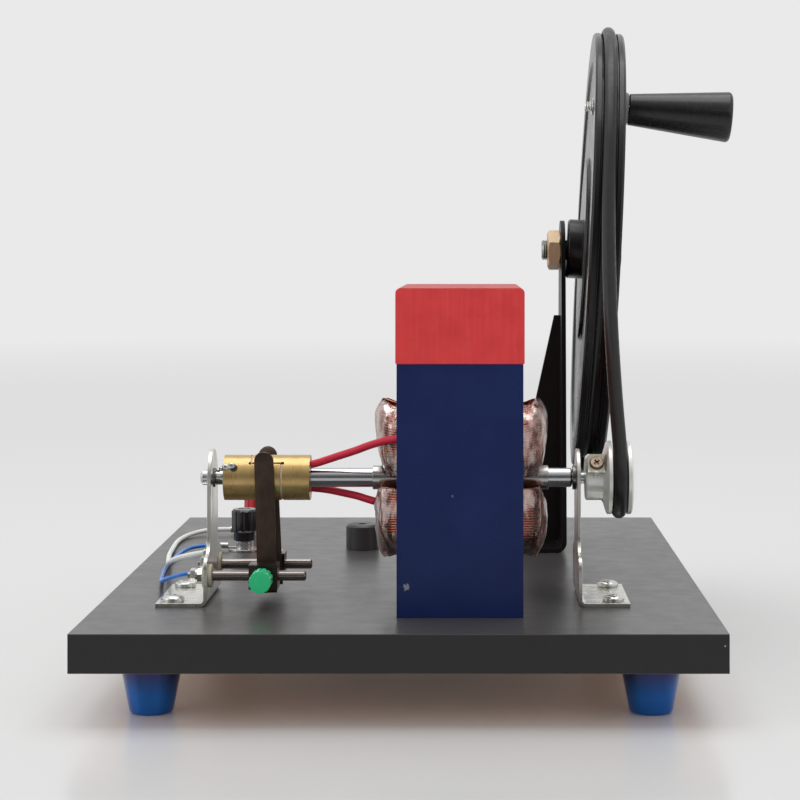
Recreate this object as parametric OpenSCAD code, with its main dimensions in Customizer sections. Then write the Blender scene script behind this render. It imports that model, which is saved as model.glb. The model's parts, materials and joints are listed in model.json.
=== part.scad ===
// Hand crank generator for classroom demonstrations, in millimetres.
// X runs left to right, Y runs away from the viewer, Z is up from the table.

/* [Base board] */
// Width of the board, left to right
base_w = 250; // [230:5:300]
// Depth of the board, front to back
base_d = 330; // [320:5:340]
// Thickness of the board
base_t = 15; // [13:1:20]

/* [Feet] */
// Height of a foot
foot_h = 21; // [16:1:30]
// Diameter of a foot under the board
foot_d = 24; // [20:1:30]
// Diameter of a foot where it stands
foot_tip_d = 17.5; // [15:0.5:20]
// From the side of the board to the middle of a foot
foot_inset_x = 27; // [20:1:40]
// From the front or back of the board to the middle of a foot
foot_inset_y = 30; // [20:1:40]

/* [Magnet] */
// Middle of the magnet, right of the middle of the board
magnet_x = 23; // [16:1:28]
// Width of the magnet along the shaft
magnet_w = 50; // [42:1:56]
// Thickness of one leg
magnet_leg_t = 13; // [10:1:18]
// Height of the legs above the board
magnet_leg_h = 100; // [95:1:120]
// Height of the yoke on top of the legs
magnet_yoke_h = 30; // [20:1:40]
// Air between a leg and the turning armature
air_gap = 1.3; // [0.8:0.1:3]

/* [Armature] */
// Shaft axis, in front of (minus) or behind the middle of the board
rotor_y = -84; // [-88:1:-80]
// Shaft axis above the board
rotor_h = 50; // [46:1:58]
// Radius that the armature sweeps
rotor_r = 33.7; // [32.7:0.1:35]
// Diameter of the shaft
shaft_d = 8; // [7:0.5:9]
// Diameter of the shaft in its bearings
journal_d = 5; // [4:0.5:6]
// How far the coils reach past each end of the iron core
coil_overhang = 10.2; // [9:0.2:12]
// Half width of a coil across the shaft
coil_side = 24; // [20:0.5:25]
// Diameter of the winding wire with its enamel
wire_d = 1.4; // [1.2:0.05:1.45]
// Rise of the winding from one turn to the next
turn_pitch = 1.86; // [1.86:0.02:1.9]

/* [Bearing brackets] */
// Right face of the left bracket
left_bracket_x = -79.9; // [-80.9:0.1:-79.1]
// Left face of the right bracket
right_bracket_x = 71.1; // [70.1:0.1:71.5]
// Width of a bracket at its foot
bracket_w = 48; // [46:1:56]
// Width of a bracket at its neck
bracket_neck_w = 24; // [20:1:28]
// Height of the wide part of a bracket above the board
bracket_shoulder_h = 20; // [19:1:24]
// Thickness of the sheet
bracket_t = 1.5; // [1.2:0.1:2]
// Length of a bracket's foot
bracket_foot_l = 21; // [19:0.5:24]

/* [Commutator] */
// Left end of the brass
comm_x = -75.3; // [-75.5:0.1:-74.5]
// Length of the brass over both rings
comm_l = 35.7; // [34:0.1:37]
// Diameter of the brass
comm_d = 18.8; // [17:0.2:21]
// Length of the unbroken ring at each end
ring_l = 11.2; // [10:0.2:12]
// Width of the slit between the two halves
slit_w = 0.8; // [0.5:0.1:1.2]

/* [Brush gear] */
// Diameter of a brush rod
rod_d = 4.2; // [4:0.1:5]
// Height of the rods above the board
rod_h = 11.5; // [10:0.5:13]
// Right end of the rods
rod_end_x = -40.2; // [-41:0.1:-38]
// Width of a brush block along its rod
block_w = 11.8; // [10:0.2:12]
// Depth of a brush block across its rod
block_d = 10; // [9:0.5:12]
// Height of a brush block
block_h = 10; // [9:0.5:12]
// Width of a brush strip
strip_w = 8; // [6:0.5:9]
// Thickness of a brush strip
strip_t = 0.8; // [0.5:0.1:1.2]
// How far a strip rises above the shaft axis
strip_rise = 12; // [10:0.5:14]
// Diameter of a thumb screw's head
knob_d = 9; // [7:0.5:10]
// Length of a thumb screw's head
knob_l = 9; // [6:0.5:12]

/* [Pulley] */
// Middle of the belt, right of the middle of the board
belt_x = 89; // [88.5:0.1:89.5]
// Radius of the belt's middle on the pulley
pulley_belt_r = 14; // [13:0.25:16]
// Diameter of the pulley's flanges
pulley_d = 30.5; // [30:0.5:34]
// Width over both flanges
pulley_w = 10.6; // [10.4:0.2:11.6]
// Diameter of the pulley's hub
pulley_hub_d = 18.8; // [17:0.2:22]
// Length of the pulley's hub, left of the flanges
pulley_hub_l = 8.7; // [8:0.1:9]

/* [Drive wheel and belt] */
// Axle, behind the middle of the board
wheel_y = 63.5; // [60:0.5:70]
// Axle above the board
wheel_h = 145; // [140:1:160]
// Diameter of the wheel
wheel_d = 212; // [208:2:220]
// Width of the rim
rim_w = 14; // [12:0.5:15]
// Radial width of the flat ring inside the rim
rim_ring_w = 14; // [10:1:14]
// Depth of the shallow recess in each face
web_recess = 1.2; // [0.6:0.1:2]
// Diameter of the raised disc round the hub
hub_disc_d = 90; // [70:2:110]
// How far the raised disc stands proud of the rim
hub_disc_rise = 0.5; // [0.2:0.1:1.5]
// Diameter of the hub boss
boss_d = 29; // [24:1:32]
// Lean of the wheel on its axle, its top to the right, in degrees
wheel_lean = 2.9; // [0:0.1:3]
// Toe of the wheel on its axle, its front to the left, in degrees
wheel_toe = 1.4; // [0:0.1:1.5]
// Diameter of the belt
belt_d = 6; // [5:0.5:6.5]

/* [Crank handle] */
// Distance from the axle to the handle
crank_r = 82; // [70:1:82]
// Lean of the crank towards the front at rest, in degrees
crank_lean = 36; // [0:0.1:80]
// Length of the grip
grip_l = 47.8; // [40:0.1:60]
// Diameter of the grip beside the wheel
grip_near_d = 14.6; // [13:0.2:18]
// Diameter of the grip at its outer end
grip_far_d = 23.5; // [20:0.5:28]
// Length of the fixed collar behind the grip
collar_l = 2.5; // [2:0.5:6]
// Droop of the handle from square to the wheel, in degrees
handle_droop = 1.7; // [0:0.1:2]
// Diameter of the handle bolt
handle_bolt_d = 5; // [4:0.5:6]

/* [Wheel support] */
// Right face of the support's plate
support_x = 73.2; // [72.8:0.1:73.3]
// Width of the support
support_w = 53; // [48:1:60]
// Thickness of the support's sheet
support_t = 2.1; // [1.8:0.1:2.6]
// Length of the support's foot
support_foot_l = 31; // [28:1:36]
// Height of the stiffening gusset
gusset_h = 113; // [90:1:120]
// Diameter of the axle
axle_d = 10; // [8:0.5:12]

/* [Binding posts] */
// Both posts, left (minus) of the middle of the board
post_x = -82; // [-90:1:-78]
// Black post, behind the middle of the board
black_post_y = 46; // [40:1:50]
// Red post, behind the middle of the board
red_post_y = 100; // [90:1:110]
// Diameter of a post's cap
cap_d = 12.5; // [12:0.5:15]
// Height of a post's cap
cap_h = 15; // [13:0.5:18]
// Bore for a 4 mm plug
socket_d = 4.1; // [4.05:0.05:4.3]

/* [Lamp socket] */
// Left (minus) of the middle of the board
lamp_x = -25.3; // [-30:0.1:-20]
// Behind the middle of the board
lamp_y = 52.6; // [45:0.1:60]
// Diameter of the socket's body
lamp_d = 16; // [14:0.5:20]
// Height of the socket's body
lamp_h = 12; // [9:0.5:16]

/* [Hidden] */
$fn = 64;

// Clearances: seat between fixed pieces, run between a shaft and its bore,
// clear between curved faces on different bodies, over for cuts that run through
seat = 0.05;
run = 0.05;
clear = 0.3;
over = 1;

// Heights from the table
board_top = foot_h + base_t;
rotor_z = board_top + rotor_h;
wheel_z = board_top + wheel_h;
rod_z = board_top + rod_h;

// Origin: under the middle of the whole object's box
belt_r = belt_d / 2;
wheel_tilt = acos(cos(wheel_toe) * cos(wheel_lean));
handle_tilt = acos(cos(wheel_toe) * cos(wheel_lean + handle_droop));
grip_round = 2;
grip_reach = (collar_l + clear + grip_l - grip_round) * cos(handle_tilt)
    + (grip_far_d / 2 - grip_round) * sin(handle_tilt) + grip_round;
grip_end_x = belt_x + grip_reach - crank_r * sin(crank_lean) * sin(wheel_toe)
    + cos(wheel_toe) * (rim_w / 2 * cos(wheel_lean) + crank_r * cos(crank_lean) * sin(wheel_lean));
origin_x = -(grip_end_x - base_w / 2) / 2;
wheel_reach = wheel_d / 2 * sqrt(1 - pow(sin(wheel_toe) * cos(wheel_lean), 2));
origin_y = -(max(base_d / 2, wheel_y + wheel_reach + belt_r) - base_d / 2) / 2;

// Foot and its screw
foot_lip = 3;
foot_round = 1.5;
foot_recess_d = 10;
foot_recess_h = 9;
foot_screw_d = 4;
foot_screw_l = 22;
pan_head_d = 8;
pan_head_h = 2.6;

// Magnet
yoke_lip = 0.5;
yoke_round = 2;
magnet_gap = 2 * (rotor_r + air_gap);
magnet_d = magnet_gap + 2 * magnet_leg_t;
magnet_screw_d = 4;
magnet_screw_head_d = 8;
magnet_screw_deep = 10;
magnet_screw_spread_share = 0.5;

// Bracket sheet and screws
bend_r = 1.5;
bracket_screw_y = 17.5;
bracket_screw_d = 4;
bracket_screw_in = 6.5;
bracket_screw_l = 12;
bracket_head_d = 9;
shoulder_r = 5;
fillet_r = 7;

// Bearings and shaft
bush_wall = 1.2;
bush_flange_d = 10;
bush_flange_t = 1.4;
left_bush_flange_d = 8;
left_bush_out = 0.6;
shaft_left_d = 6;
shaft_left_x = left_bracket_x + left_bush_out + clear;
shaft_nut_d = 6.3;
shaft_nut_t = 2.4;
shaft_nut_x = left_bracket_x - bracket_t - left_bush_out - clear - shaft_nut_t;
shaft_tip = 0.8;
shaft_chamfer = 0.6;

// Armature
core_l = magnet_w;
neck_w = 12;
hub_r = 7.5;
pole_w = 18;
pole_z = 29.9;
sleeve_r = 5;
coil_turns = 13;
coil_steps = 24;
coil_sides = 6;
coil_square = 3.2;
coil_z = 6.6;
wire_r = wire_d / 2;
coil_half_l = core_l / 2 + coil_overhang - wire_r;
coil_path_r = rotor_r - wire_r - clear;

// Commutator
comm_r = comm_d / 2;
comm_core_r = 6;
comm_end_x = comm_x + comm_l;
slit_angle = 45;
slit_hole_d = 1.5;
comm_screw_d = 3;
comm_screw_in = 4.5;
comm_screw_sunk = 0.2;
comm_screw_angle = 30;

// Brush gear, measured across the shaft from its axis
brush_x = comm_x + comm_l / 2;
strip_y = comm_r + clear;
rod_off = strip_y + strip_t + block_d / 2;
rod_thread_d = 3;
rod_bush_d = 5.5;
rod_bush_flange_d = 9.6;
rod_bush_flange_t = 1.2;
rod_nut_af = 5.5;
rod_nut_t = 2.2;
tag_t = 0.6;
tag_reach = 9;
rod_tip = 1.1;
rod_out_x = left_bracket_x - bracket_t - rod_bush_flange_t - 2 * rod_nut_t - tag_t - rod_tip;
strip_foot = 3;
knob_screw_d = 3;
knob_gap = 4;
knob_flutes = 12;
knob_flute_d = 1.2;

// Pulley
groove_r = belt_r + clear;
groove_side = 3.9;
pulley_x0 = belt_x - pulley_w / 2;
pulley_hub_x = pulley_x0 - pulley_hub_l;
pulley_cone_l = 1.6;
pulley_screw_d = 4;
pulley_screw_head_d = 6;
pulley_screw_proud = 0.8;
pulley_pad_w = 9;
pulley_pad_rise = 1.2;
pulley_pad_back = 8;
pulley_screw_angle = 50;

// Drive wheel
wheel_r = wheel_d / 2;
wheel_x0 = belt_x - rim_w / 2;
wheel_x1 = belt_x + rim_w / 2;
wheel_edge = 1;
boss_x = support_x + clear + boss_d / 2 * sin(wheel_tilt);
wheel_bore_r = axle_d / 2 + run + (belt_x - boss_x) * tan(wheel_tilt);
pad_d = 19;
nut_pocket = 2.4;

// Crank handle
handle_y = wheel_y - crank_r * sin(crank_lean);
handle_z = wheel_z + crank_r * cos(crank_lean);
handle_nut_af = 8;
handle_nut_t = 4;
handle_tip = 3.4;
handle_head_d = 8.5;
handle_head_t = 2.5;
grip_x = wheel_x1 + collar_l + clear;
grip_recess = 6;
collar_d = 17;

// Wheel support
support_x0 = support_x - support_t;
support_bend_r = 3;
gusset_t = 2.4;
gusset_top_w = 3;
gusset_foot_w = 27.4;
support_screw_y = 17.5;
support_screw_in = 12;
axle_head_af = 17;
axle_head_t = 6.4;
axle_nut_t = 6.2;
axle_washer_t = 0.8;
axle_washer_d = 20;
axle_nut_turn = 8;
axle_tip = 2.8;

// Binding posts, measured from the top of the board
stud_d = 6;
stud_collar_d = 8.4;
stud_collar_h = 3;
post_washer_d = 15.5;
post_washer_t = 1.2;
post_tag_reach = 13;
crimp_l = post_tag_reach - post_washer_d / 2 - seat;
crimp_wall = 0.5;
crimp_drop = 0.2;
cap_low_d = 10.4;
cap_low_h = 4;
cap_round = 1;
cap_flutes = 12;
cap_flute_d = 1.6;
stud_below = 6.5;
post_nut_af = 10;
post_nut_t = 4;
socket_deep = 12;

// Lamp socket
lamp_spigot_d = 6;
lamp_spigot_l = 8;
lamp_edge = 1;
lamp_socket_deep = 9;

// Leads: diameters and the points that each passes, from the middle of the
// board, with heights from the top of the board
red_lead_d = 3.2;
blue_lead_d = 1.8;
white_lead_d = 2.3;
lead_sides = 8;
upper_red_points = [[-39.5, -87.5, 55.2], [-36, -87.6, 55.4], [-31, -88.2, 56.4],
    [-26, -89.5, 58], [-21, -92, 60.2], [-16, -95.5, 62.8], [-12.5, -99, 64.6],
    [-10, -101.8, 65.6], [-8, -103.9, 66.3], [-6, -105.3, 66.8], [-4.4, -106.2, 67]];
lower_red_points = [[-39.5, -87.5, 44.8], [-36, -87.6, 44.6], [-31, -88.4, 43.8],
    [-26, -89.6, 42.6], [-21, -91, 41], [-17, -91.8, 39.9], [-14.6, -92, 39.6],
    [-12.2, -92, 39.6]];
blue_points = [[-85.5, -92, 11.5], [-88, -92, 11.4], [-92, -92.6, 10.8], [-97, -90.4, 9.2],
    [-100.6, -85.4, 7.4], [-102.6, -78, 5.6], [-104.8, -66, 3.8], [-106.8, -53, 2.4],
    [-108.4, -40, 1.5], [-110, -26, 1.05], [-111, -12, 1], [-111.4, 2, 1], [-111.2, 15, 1],
    [-110.8, 27, 1], [-109.8, 37, 1.2], [-106.9, 43.8, 1.7], [-102.4, 46, 2.2],
    [-98, 46, 2.4], [-94.6, 46, 2.4], [-91.5, 46, 2.4]];
white_points = [[-85.5, -68.5, 16], [-88, -68.5, 15.9], [-93, -67, 14.8], [-98.5, -62, 12.8],
    [-102.6, -54, 10.2], [-105.4, -42, 7.4], [-107.8, -26, 5.5], [-110.4, -8, 4.4],
    [-112.8, 10, 3.3], [-114.8, 28, 2], [-116.3, 46, 1.3], [-117.2, 62, 1.25],
    [-116.8, 76, 1.25], [-114.8, 88, 1.4], [-110.8, 96, 1.8], [-105.5, 99.4, 2.3],
    [-101, 100, 2.6], [-97.6, 100, 2.65], [-94.6, 100, 2.65], [-91.5, 100, 2.65]];

// Points of a round stretch of an outline
function arc(x, y, r, from, to, steps = 8) =
    [for (i = [0 : steps]) let (a = from + (to - from) * i / steps) [x + r * cos(a), y + r * sin(a)]];

// Sweeps a round tube along points, carrying one side direction from ring to ring
function unit(v) = v / norm(v);
function heading(p, i) = i == 0 ? unit(p[1] - p[0])
    : i == len(p) - 1 ? unit(p[i] - p[i - 1])
    : unit(unit(p[i + 1] - p[i]) + unit(p[i] - p[i - 1]));
function square_to(v, t) = unit(v - (v * t) * t);
function sides_along(p, first) =
    [for (i = 0, s = square_to(first, heading(p, 0)); i < len(p);
        i = i + 1, s = i < len(p) ? square_to(s, heading(p, i)) : s) s];

module tube(points, radius, sides, first = [0, 0, 1]) {
    across = sides_along(points, first);
    rings = [for (i = [0 : len(points) - 1]) let (t = heading(points, i), a = across[i], b = cross(t, a))
        for (k = [0 : sides - 1])
            points[i] + radius * (a * cos(360 * k / sides) + b * sin(360 * k / sides))];
    last = (len(points) - 1) * sides;
    walls = [for (i = [0 : len(points) - 2]) for (k = [0 : sides - 1])
        let (a = i * sides + k, b = i * sides + (k + 1) % sides)
            each [[a, a + sides, b], [b, a + sides, b + sides]]];
    polyhedron(rings, concat(walls,
        [for (k = [1 : sides - 2]) [0, k, k + 1]],
        [for (k = [1 : sides - 2]) [last, last + k + 1, last + k]]));
}

// Smooth curve through chosen points, for a lead
function curve_point(a, b, c, d, u) =
    0.5 * (2 * b + (c - a) * u + (2 * a - 5 * b + 4 * c - d) * u * u
        + (3 * b - a - 3 * c + d) * u * u * u);
function smooth(p, steps) = concat(
    [for (i = [0 : len(p) - 2]) for (k = [0 : steps - 1])
        curve_point(p[max(i - 1, 0)], p[i], p[i + 1], p[min(i + 2, len(p) - 1)], k / steps)],
    [p[len(p) - 1]]);

// Places outlines: yz stands one up across the shaft, xz along it
module yz(x, t) { translate([x, 0, 0]) rotate([90, 0, 90]) linear_extrude(t) children(); }
module xz(y, t) { translate([0, y + t, 0]) rotate([90, 0, 0]) linear_extrude(t) children(); }
module rod_x(x0, x1, r) { translate([x0, 0, 0]) rotate([0, 90, 0]) cylinder(h = x1 - x0, r = r); }
module rod_y(y0, y1, r) { translate([0, y0, 0]) rotate([-90, 0, 0]) cylinder(h = y1 - y0, r = r); }
module turn_x(x) { translate([x, 0, 0]) rotate([0, 90, 0]) rotate_extrude() children(); }
module at_rotor() { translate([0, rotor_y, rotor_z]) children(); }
module turned_over() { at_rotor() rotate([180, 0, 0]) translate([0, -rotor_y, -rotor_z]) children(); }
module at_wheel() { translate([0, wheel_y, wheel_z]) children(); }
module on_wheel() {
    translate([belt_x, wheel_y, wheel_z]) rotate([0, wheel_lean, -wheel_toe])
        translate([-belt_x, 0, 0]) children();
}
module at_handle() {
    on_wheel() translate([wheel_x1, handle_y - wheel_y, handle_z - wheel_z]) rotate([0, handle_droop, 0])
        translate([-wheel_x1, 0, 0]) children();
}
module on_board() { translate([0, 0, board_top]) children(); }
module hex(across_flats, h) { cylinder(h = h, r = across_flats / 2 / cos(30), $fn = 6); }
module box_mid(w, d, h) { translate([-w / 2, -d / 2, 0]) cube([w, d, h]); }
module both_sides(gap) { for (s = [-1, 1]) translate([0, s * gap, 0]) children(); }

// Pan head screw, head up, seated at zero
module pan_screw(head_d, shank_d, length) {
    rotate_extrude() polygon(concat([[0, -length], [shank_d / 2, -length], [shank_d / 2, 0], [head_d / 2, 0]],
        [for (a = [20 : 14 : 90]) [head_d / 2 * cos(a), pan_head_h * sin(a)]]));
}

// Places shared by the screws and their holes
module at_feet() {
    for (sx = [-1, 1], sy = [-1, 1])
        translate([sx * (base_w / 2 - foot_inset_x), sy * (base_d / 2 - foot_inset_y), 0]) children();
}
module at_bracket_screws() {
    for (x = [left_bracket_x - bracket_foot_l + bracket_screw_in,
            right_bracket_x + bracket_foot_l - bracket_screw_in])
        translate([x, rotor_y, board_top]) both_sides(bracket_screw_y) children();
}
module at_support_screws() {
    translate([support_x - support_foot_l + support_screw_in, wheel_y, board_top])
        both_sides(support_screw_y) children();
}
module at_magnet_screws() {
    for (s = [-1, 1]) translate([magnet_x + s * magnet_w * magnet_screw_spread_share / 2, rotor_y, 0])
        both_sides((magnet_gap + magnet_leg_t) / 2) children();
}
module at_posts() { for (y = [black_post_y, red_post_y]) translate([post_x, y, board_top]) children(); }

module base_board() {
    color("#35373a") difference() {
        translate([0, 0, foot_h]) box_mid(base_w, base_d, base_t);
        at_feet() translate([0, 0, foot_h - over])
            cylinder(h = over + foot_screw_l - foot_h + foot_recess_h + clear, r = foot_screw_d / 2 + seat);
        at_bracket_screws() translate([0, 0, bracket_t - bracket_screw_l - clear])
            cylinder(h = bracket_screw_l + over, r = bracket_screw_d / 2 + seat);
        at_support_screws() translate([0, 0, support_t - bracket_screw_l - clear])
            cylinder(h = bracket_screw_l + over, r = bracket_screw_d / 2 + seat);
        at_magnet_screws() translate([0, 0, foot_h - over]) {
            cylinder(h = base_t + 2 * over, r = magnet_screw_d / 2 + seat);
            cylinder(h = over + pan_head_h, r = magnet_screw_head_d / 2 + seat);
        }
        at_posts() translate([0, 0, -base_t - over]) cylinder(h = base_t + 2 * over, r = stud_d / 2 + seat);
        translate([lamp_x, lamp_y, board_top - lamp_spigot_l - clear])
            cylinder(h = lamp_spigot_l + over, r = lamp_spigot_d / 2 + seat);
    }
}

module feet() {
    color("#20419a") at_feet() rotate_extrude() polygon(concat(
        [[foot_recess_d / 2, 0]],
        arc(foot_tip_d / 2 - foot_round, foot_round, foot_round, -90, -10, 5),
        [[foot_d / 2, foot_h - foot_lip], [foot_d / 2, foot_h], [foot_screw_d / 2 + seat, foot_h],
            [foot_screw_d / 2 + seat, foot_recess_h], [foot_recess_d / 2, foot_recess_h]]));
}

module foot_screws() {
    color("silver") at_feet() translate([0, 0, foot_recess_h]) rotate([180, 0, 0])
        pan_screw(pan_head_d, foot_screw_d, foot_screw_l);
}

// Magnet leg: a plain bar that stands on the board
module magnet_leg(side) {
    difference() {
        translate([magnet_x, rotor_y + side * (magnet_gap + magnet_leg_t) / 2, board_top])
            box_mid(magnet_w, magnet_leg_t, magnet_leg_h);
        at_magnet_screws() translate([0, 0, board_top - over])
            cylinder(h = over + magnet_screw_deep + clear, r = magnet_screw_d / 2 + seat);
    }
}
module magnet_front_leg() { color("#1b2a6b") magnet_leg(-1); }
module magnet_rear_leg() { color("#c23c3e") magnet_leg(1); }

module magnet_yoke() {
    w = magnet_w + 2 * yoke_lip;
    color("#c23c3e") translate([magnet_x, 0, board_top + magnet_leg_h])
        xz(rotor_y - magnet_d / 2 - yoke_lip, magnet_d + 2 * yoke_lip)
            polygon(concat([[-w / 2, 0], [w / 2, 0]],
                arc(w / 2 - yoke_round, magnet_yoke_h - yoke_round, yoke_round, 0, 90, 5),
                arc(yoke_round - w / 2, magnet_yoke_h - yoke_round, yoke_round, 90, 180, 5)));
}

module magnet_screws() {
    color("silver") at_magnet_screws() translate([0, 0, foot_h + pan_head_h]) rotate([180, 0, 0])
        pan_screw(magnet_screw_head_d, magnet_screw_d, base_t - pan_head_h + magnet_screw_deep);
}

// Outline of a bearing bracket's upright, across the shaft
function bracket_half() =
    let (n = bracket_neck_w / 2, w = bracket_w / 2, h = bracket_shoulder_h)
    concat([[w, 0]], arc(w - shoulder_r, h - shoulder_r, shoulder_r, 0, 90, 5),
        arc(n + fillet_r, h + fillet_r, fillet_r, 270, 180, 5));
module bracket_outline() {
    half = bracket_half();
    n = len(half);
    polygon(concat(half, arc(0, rotor_h, bracket_neck_w / 2, 0, 180, 20),
        [for (i = [n - 1 : -1 : 0]) [-half[i][0], half[i][1]]]));
}

// Bent sheet, seen along Y: upright at zero, foot reaching to the right
module bent_sheet(t, foot_l, h, r) {
    polygon(concat(arc(r + t, r + t, r + t, 180, 270, 6), [[foot_l, 0], [foot_l, t]],
        arc(r + t, r + t, r, 270, 180, 6), [[t, h], [0, h]]));
}

module bearing_bracket(x, turned) {
    top = rotor_h + bracket_neck_w / 2;
    difference() {
        intersection() {
            translate([x, 0, board_top]) mirror([turned ? 1 : 0, 0, 0])
                xz(rotor_y - bracket_w / 2, bracket_w) bent_sheet(bracket_t, bracket_foot_l, top, bend_r);
            translate([x, rotor_y, board_top]) yz(-bracket_foot_l - over, 2 * (bracket_foot_l + over))
                bracket_outline();
        }
        at_bracket_screws() translate([0, 0, -over])
            cylinder(h = bracket_t + 2 * over, r = bracket_screw_d / 2 + seat);
        at_rotor() rod_x(x - bracket_t - over, x + bracket_t + over, journal_d / 2 + run + bush_wall + seat);
        if (turned) translate([0, rotor_y, rod_z]) both_sides(rod_off)
            rod_x(x - bracket_t - over, x + over, rod_bush_d / 2 + seat);
    }
}
module left_bearing_bracket() { color("#c9c9c2") bearing_bracket(left_bracket_x, true); }
module right_bearing_bracket() { color("#c9c9c2") bearing_bracket(right_bracket_x, false); }

module bracket_screws() {
    color("silver") at_bracket_screws() translate([0, 0, bracket_t])
        pan_screw(bracket_head_d, bracket_screw_d, bracket_screw_l);
}

// Flanged bush, its flange on the side of the armature
module bearing_bush(face_x, out, flange_side) {
    r = journal_d / 2 + run + bush_wall;
    color("#8d7444") at_rotor() difference() {
        union() {
            rod_x(face_x - out, face_x + bracket_t + out, r);
            if (flange_side < 0) rod_x(face_x - bush_flange_t, face_x, bush_flange_d / 2);
            else rod_x(face_x + bracket_t, face_x + bracket_t + left_bush_out, left_bush_flange_d / 2);
        }
        rod_x(face_x - bush_flange_t - over, face_x + bracket_t + bush_flange_t + over, journal_d / 2 + run);
    }
}
module left_bearing_bush() { bearing_bush(left_bracket_x - bracket_t, left_bush_out, 1); }
module right_bearing_bush() { bearing_bush(right_bracket_x, left_bush_out, -1); }

// Shaft, stepped down to its journals and chamfered
module rotor_shaft() {
    right_step = right_bracket_x - bush_flange_t - clear;
    right_end = belt_x + pulley_w / 2 - shaft_tip;
    left_end = shaft_nut_x - shaft_tip;
    color("#b9bcc0") at_rotor() turn_x(0) polygon([[0, left_end],
        [journal_d / 2 - shaft_chamfer, left_end], [journal_d / 2, left_end + shaft_chamfer],
        [journal_d / 2, shaft_left_x], [shaft_left_d / 2, shaft_left_x],
        [shaft_left_d / 2, comm_x], [shaft_d / 2, comm_x],
        [shaft_d / 2, right_step - shaft_chamfer], [shaft_d / 2 - shaft_chamfer, right_step],
        [journal_d / 2, right_step], [journal_d / 2, right_end - shaft_chamfer],
        [journal_d / 2 - shaft_chamfer, right_end], [0, right_end]]);
}

module shaft_nut() {
    color("silver") at_rotor() difference() {
        rod_x(shaft_nut_x, shaft_nut_x + shaft_nut_t, shaft_nut_d / 2);
        rod_x(shaft_nut_x - over, shaft_nut_x + shaft_nut_t + over, journal_d / 2 + seat);
    }
}

// Iron core: a hub round the shaft, a neck each way and curved pole shoes
module armature_core() {
    x0 = magnet_x - core_l / 2;
    color("#6b6d70") at_rotor() difference() {
        union() {
            rod_x(x0, x0 + core_l, hub_r);
            intersection() {
                rod_x(x0, x0 + core_l, rotor_r);
                union() {
                    translate([magnet_x, 0, -rotor_r]) box_mid(core_l, neck_w, 2 * rotor_r);
                    for (s = [0, 180]) rotate([s, 0, 0]) translate([magnet_x, 0, pole_z])
                        box_mid(core_l, pole_w, rotor_r);
                }
            }
        }
        rod_x(x0 - over, x0 + core_l + over, shaft_d / 2 + seat);
    }
}

// Insulating sleeves on the shaft under the coil ends
module shaft_insulation() {
    color("#d8cfae") at_rotor() for (s = [0, 180]) translate([magnet_x, 0, 0]) rotate([0, 0, s])
        difference() {
            rod_x(core_l / 2, core_l / 2 + coil_overhang + wire_d, sleeve_r);
            rod_x(core_l / 2 - over, core_l / 2 + coil_overhang + wire_d + over, shaft_d / 2 + seat);
        }
}

// Winding outline: a rounded rectangle that narrows as it nears the swept radius
function curved(v) = sign(v) * pow(abs(v), 2 / coil_square);
function coil_half_w(z) = min(coil_side - wire_r, sqrt(pow(coil_path_r, 2) - pow(z, 2)));
function coil_point(a, z, inset = 0) =
    [(coil_half_l - inset) * curved(cos(a)), (coil_half_w(z) - inset) * curved(sin(a)), z];
coil_loops = [for (i = [0 : coil_turns * coil_steps])
    coil_point(180 + 360 * i / coil_steps, coil_z + turn_pitch * i / coil_steps)];
coil_top = coil_z + turn_pitch * coil_turns;
coil_path = concat([[-coil_half_l, 0, sleeve_r + seat]], coil_loops,
    [[-core_l / 2 - wire_d, 0, coil_top], [-core_l / 2 - seat, 0, coil_top]]);

// Least gap between turns, measured between points on neighbouring turns
coil_gap = min([for (i = [0 : len(coil_loops) - 1 - coil_steps / 2])
    min([for (j = [i + coil_steps / 2 : min(i + 2 * coil_steps, len(coil_loops) - 1)])
        norm(coil_loops[i] - coil_loops[j])])]) - wire_d;
echo(str("Least gap of a winding to itself: ", coil_gap, " mm"));

module coil_winding() {
    color("#b0603c") at_rotor() translate([magnet_x, 0, 0])
        tube(coil_path, wire_r, coil_sides, [0, 1, 0]);
}
module upper_coil_winding() { coil_winding(); }
module lower_coil_winding() { turned_over() coil_winding(); }

// Inner turns of a coil, as steps that carry the outer layer
module coil_inner_turns() {
    color("#8a4526") at_rotor() translate([magnet_x, 0, 0]) difference() {
        for (i = [0 : coil_turns - 1]) {
            low = coil_z - wire_r + i * turn_pitch;
            high = i == coil_turns - 1 ? pole_z - seat : low + turn_pitch;
            translate([0, 0, low]) linear_extrude(high - low)
                polygon([for (k = [0 : coil_steps - 1]) let (p = coil_point(360 * k / coil_steps,
                    high + wire_d, wire_r + seat)) [p[0], p[1]]]);
        }
        translate([0, 0, -over]) box_mid(core_l + 2 * seat, neck_w + 2 * seat, rotor_r + 2 * over);
    }
}
module upper_coil_inner_turns() { coil_inner_turns(); }
module lower_coil_inner_turns() { turned_over() coil_inner_turns(); }

module lead(points, d, steps) {
    tube([for (p = smooth(points, steps)) p + [0, 0, board_top]], d / 2, lead_sides);
}
module upper_red_lead() { color("#cd3250") lead(upper_red_points, red_lead_d, 2); }
module lower_red_lead() { color("#cd3250") lead(lower_red_points, red_lead_d, 2); }

// Insulating core under the brass
module commutator_core() {
    color("#2b2320") at_rotor() difference() {
        rod_x(comm_x, comm_end_x, comm_core_r);
        rod_x(comm_x - over, comm_end_x + over, shaft_d / 2 + seat);
        comm_screw_cut();
    }
}
module at_comm_screw(from) {
    rotate([-comm_screw_angle, 0, 0]) translate([comm_x + comm_screw_in, 0, 0]) rotate([90, 0, 0])
        translate([0, 0, from]) children();
}
module comm_screw_cut() { at_comm_screw(0) cylinder(h = comm_d, r = comm_screw_d / 2 + seat); }

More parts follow.
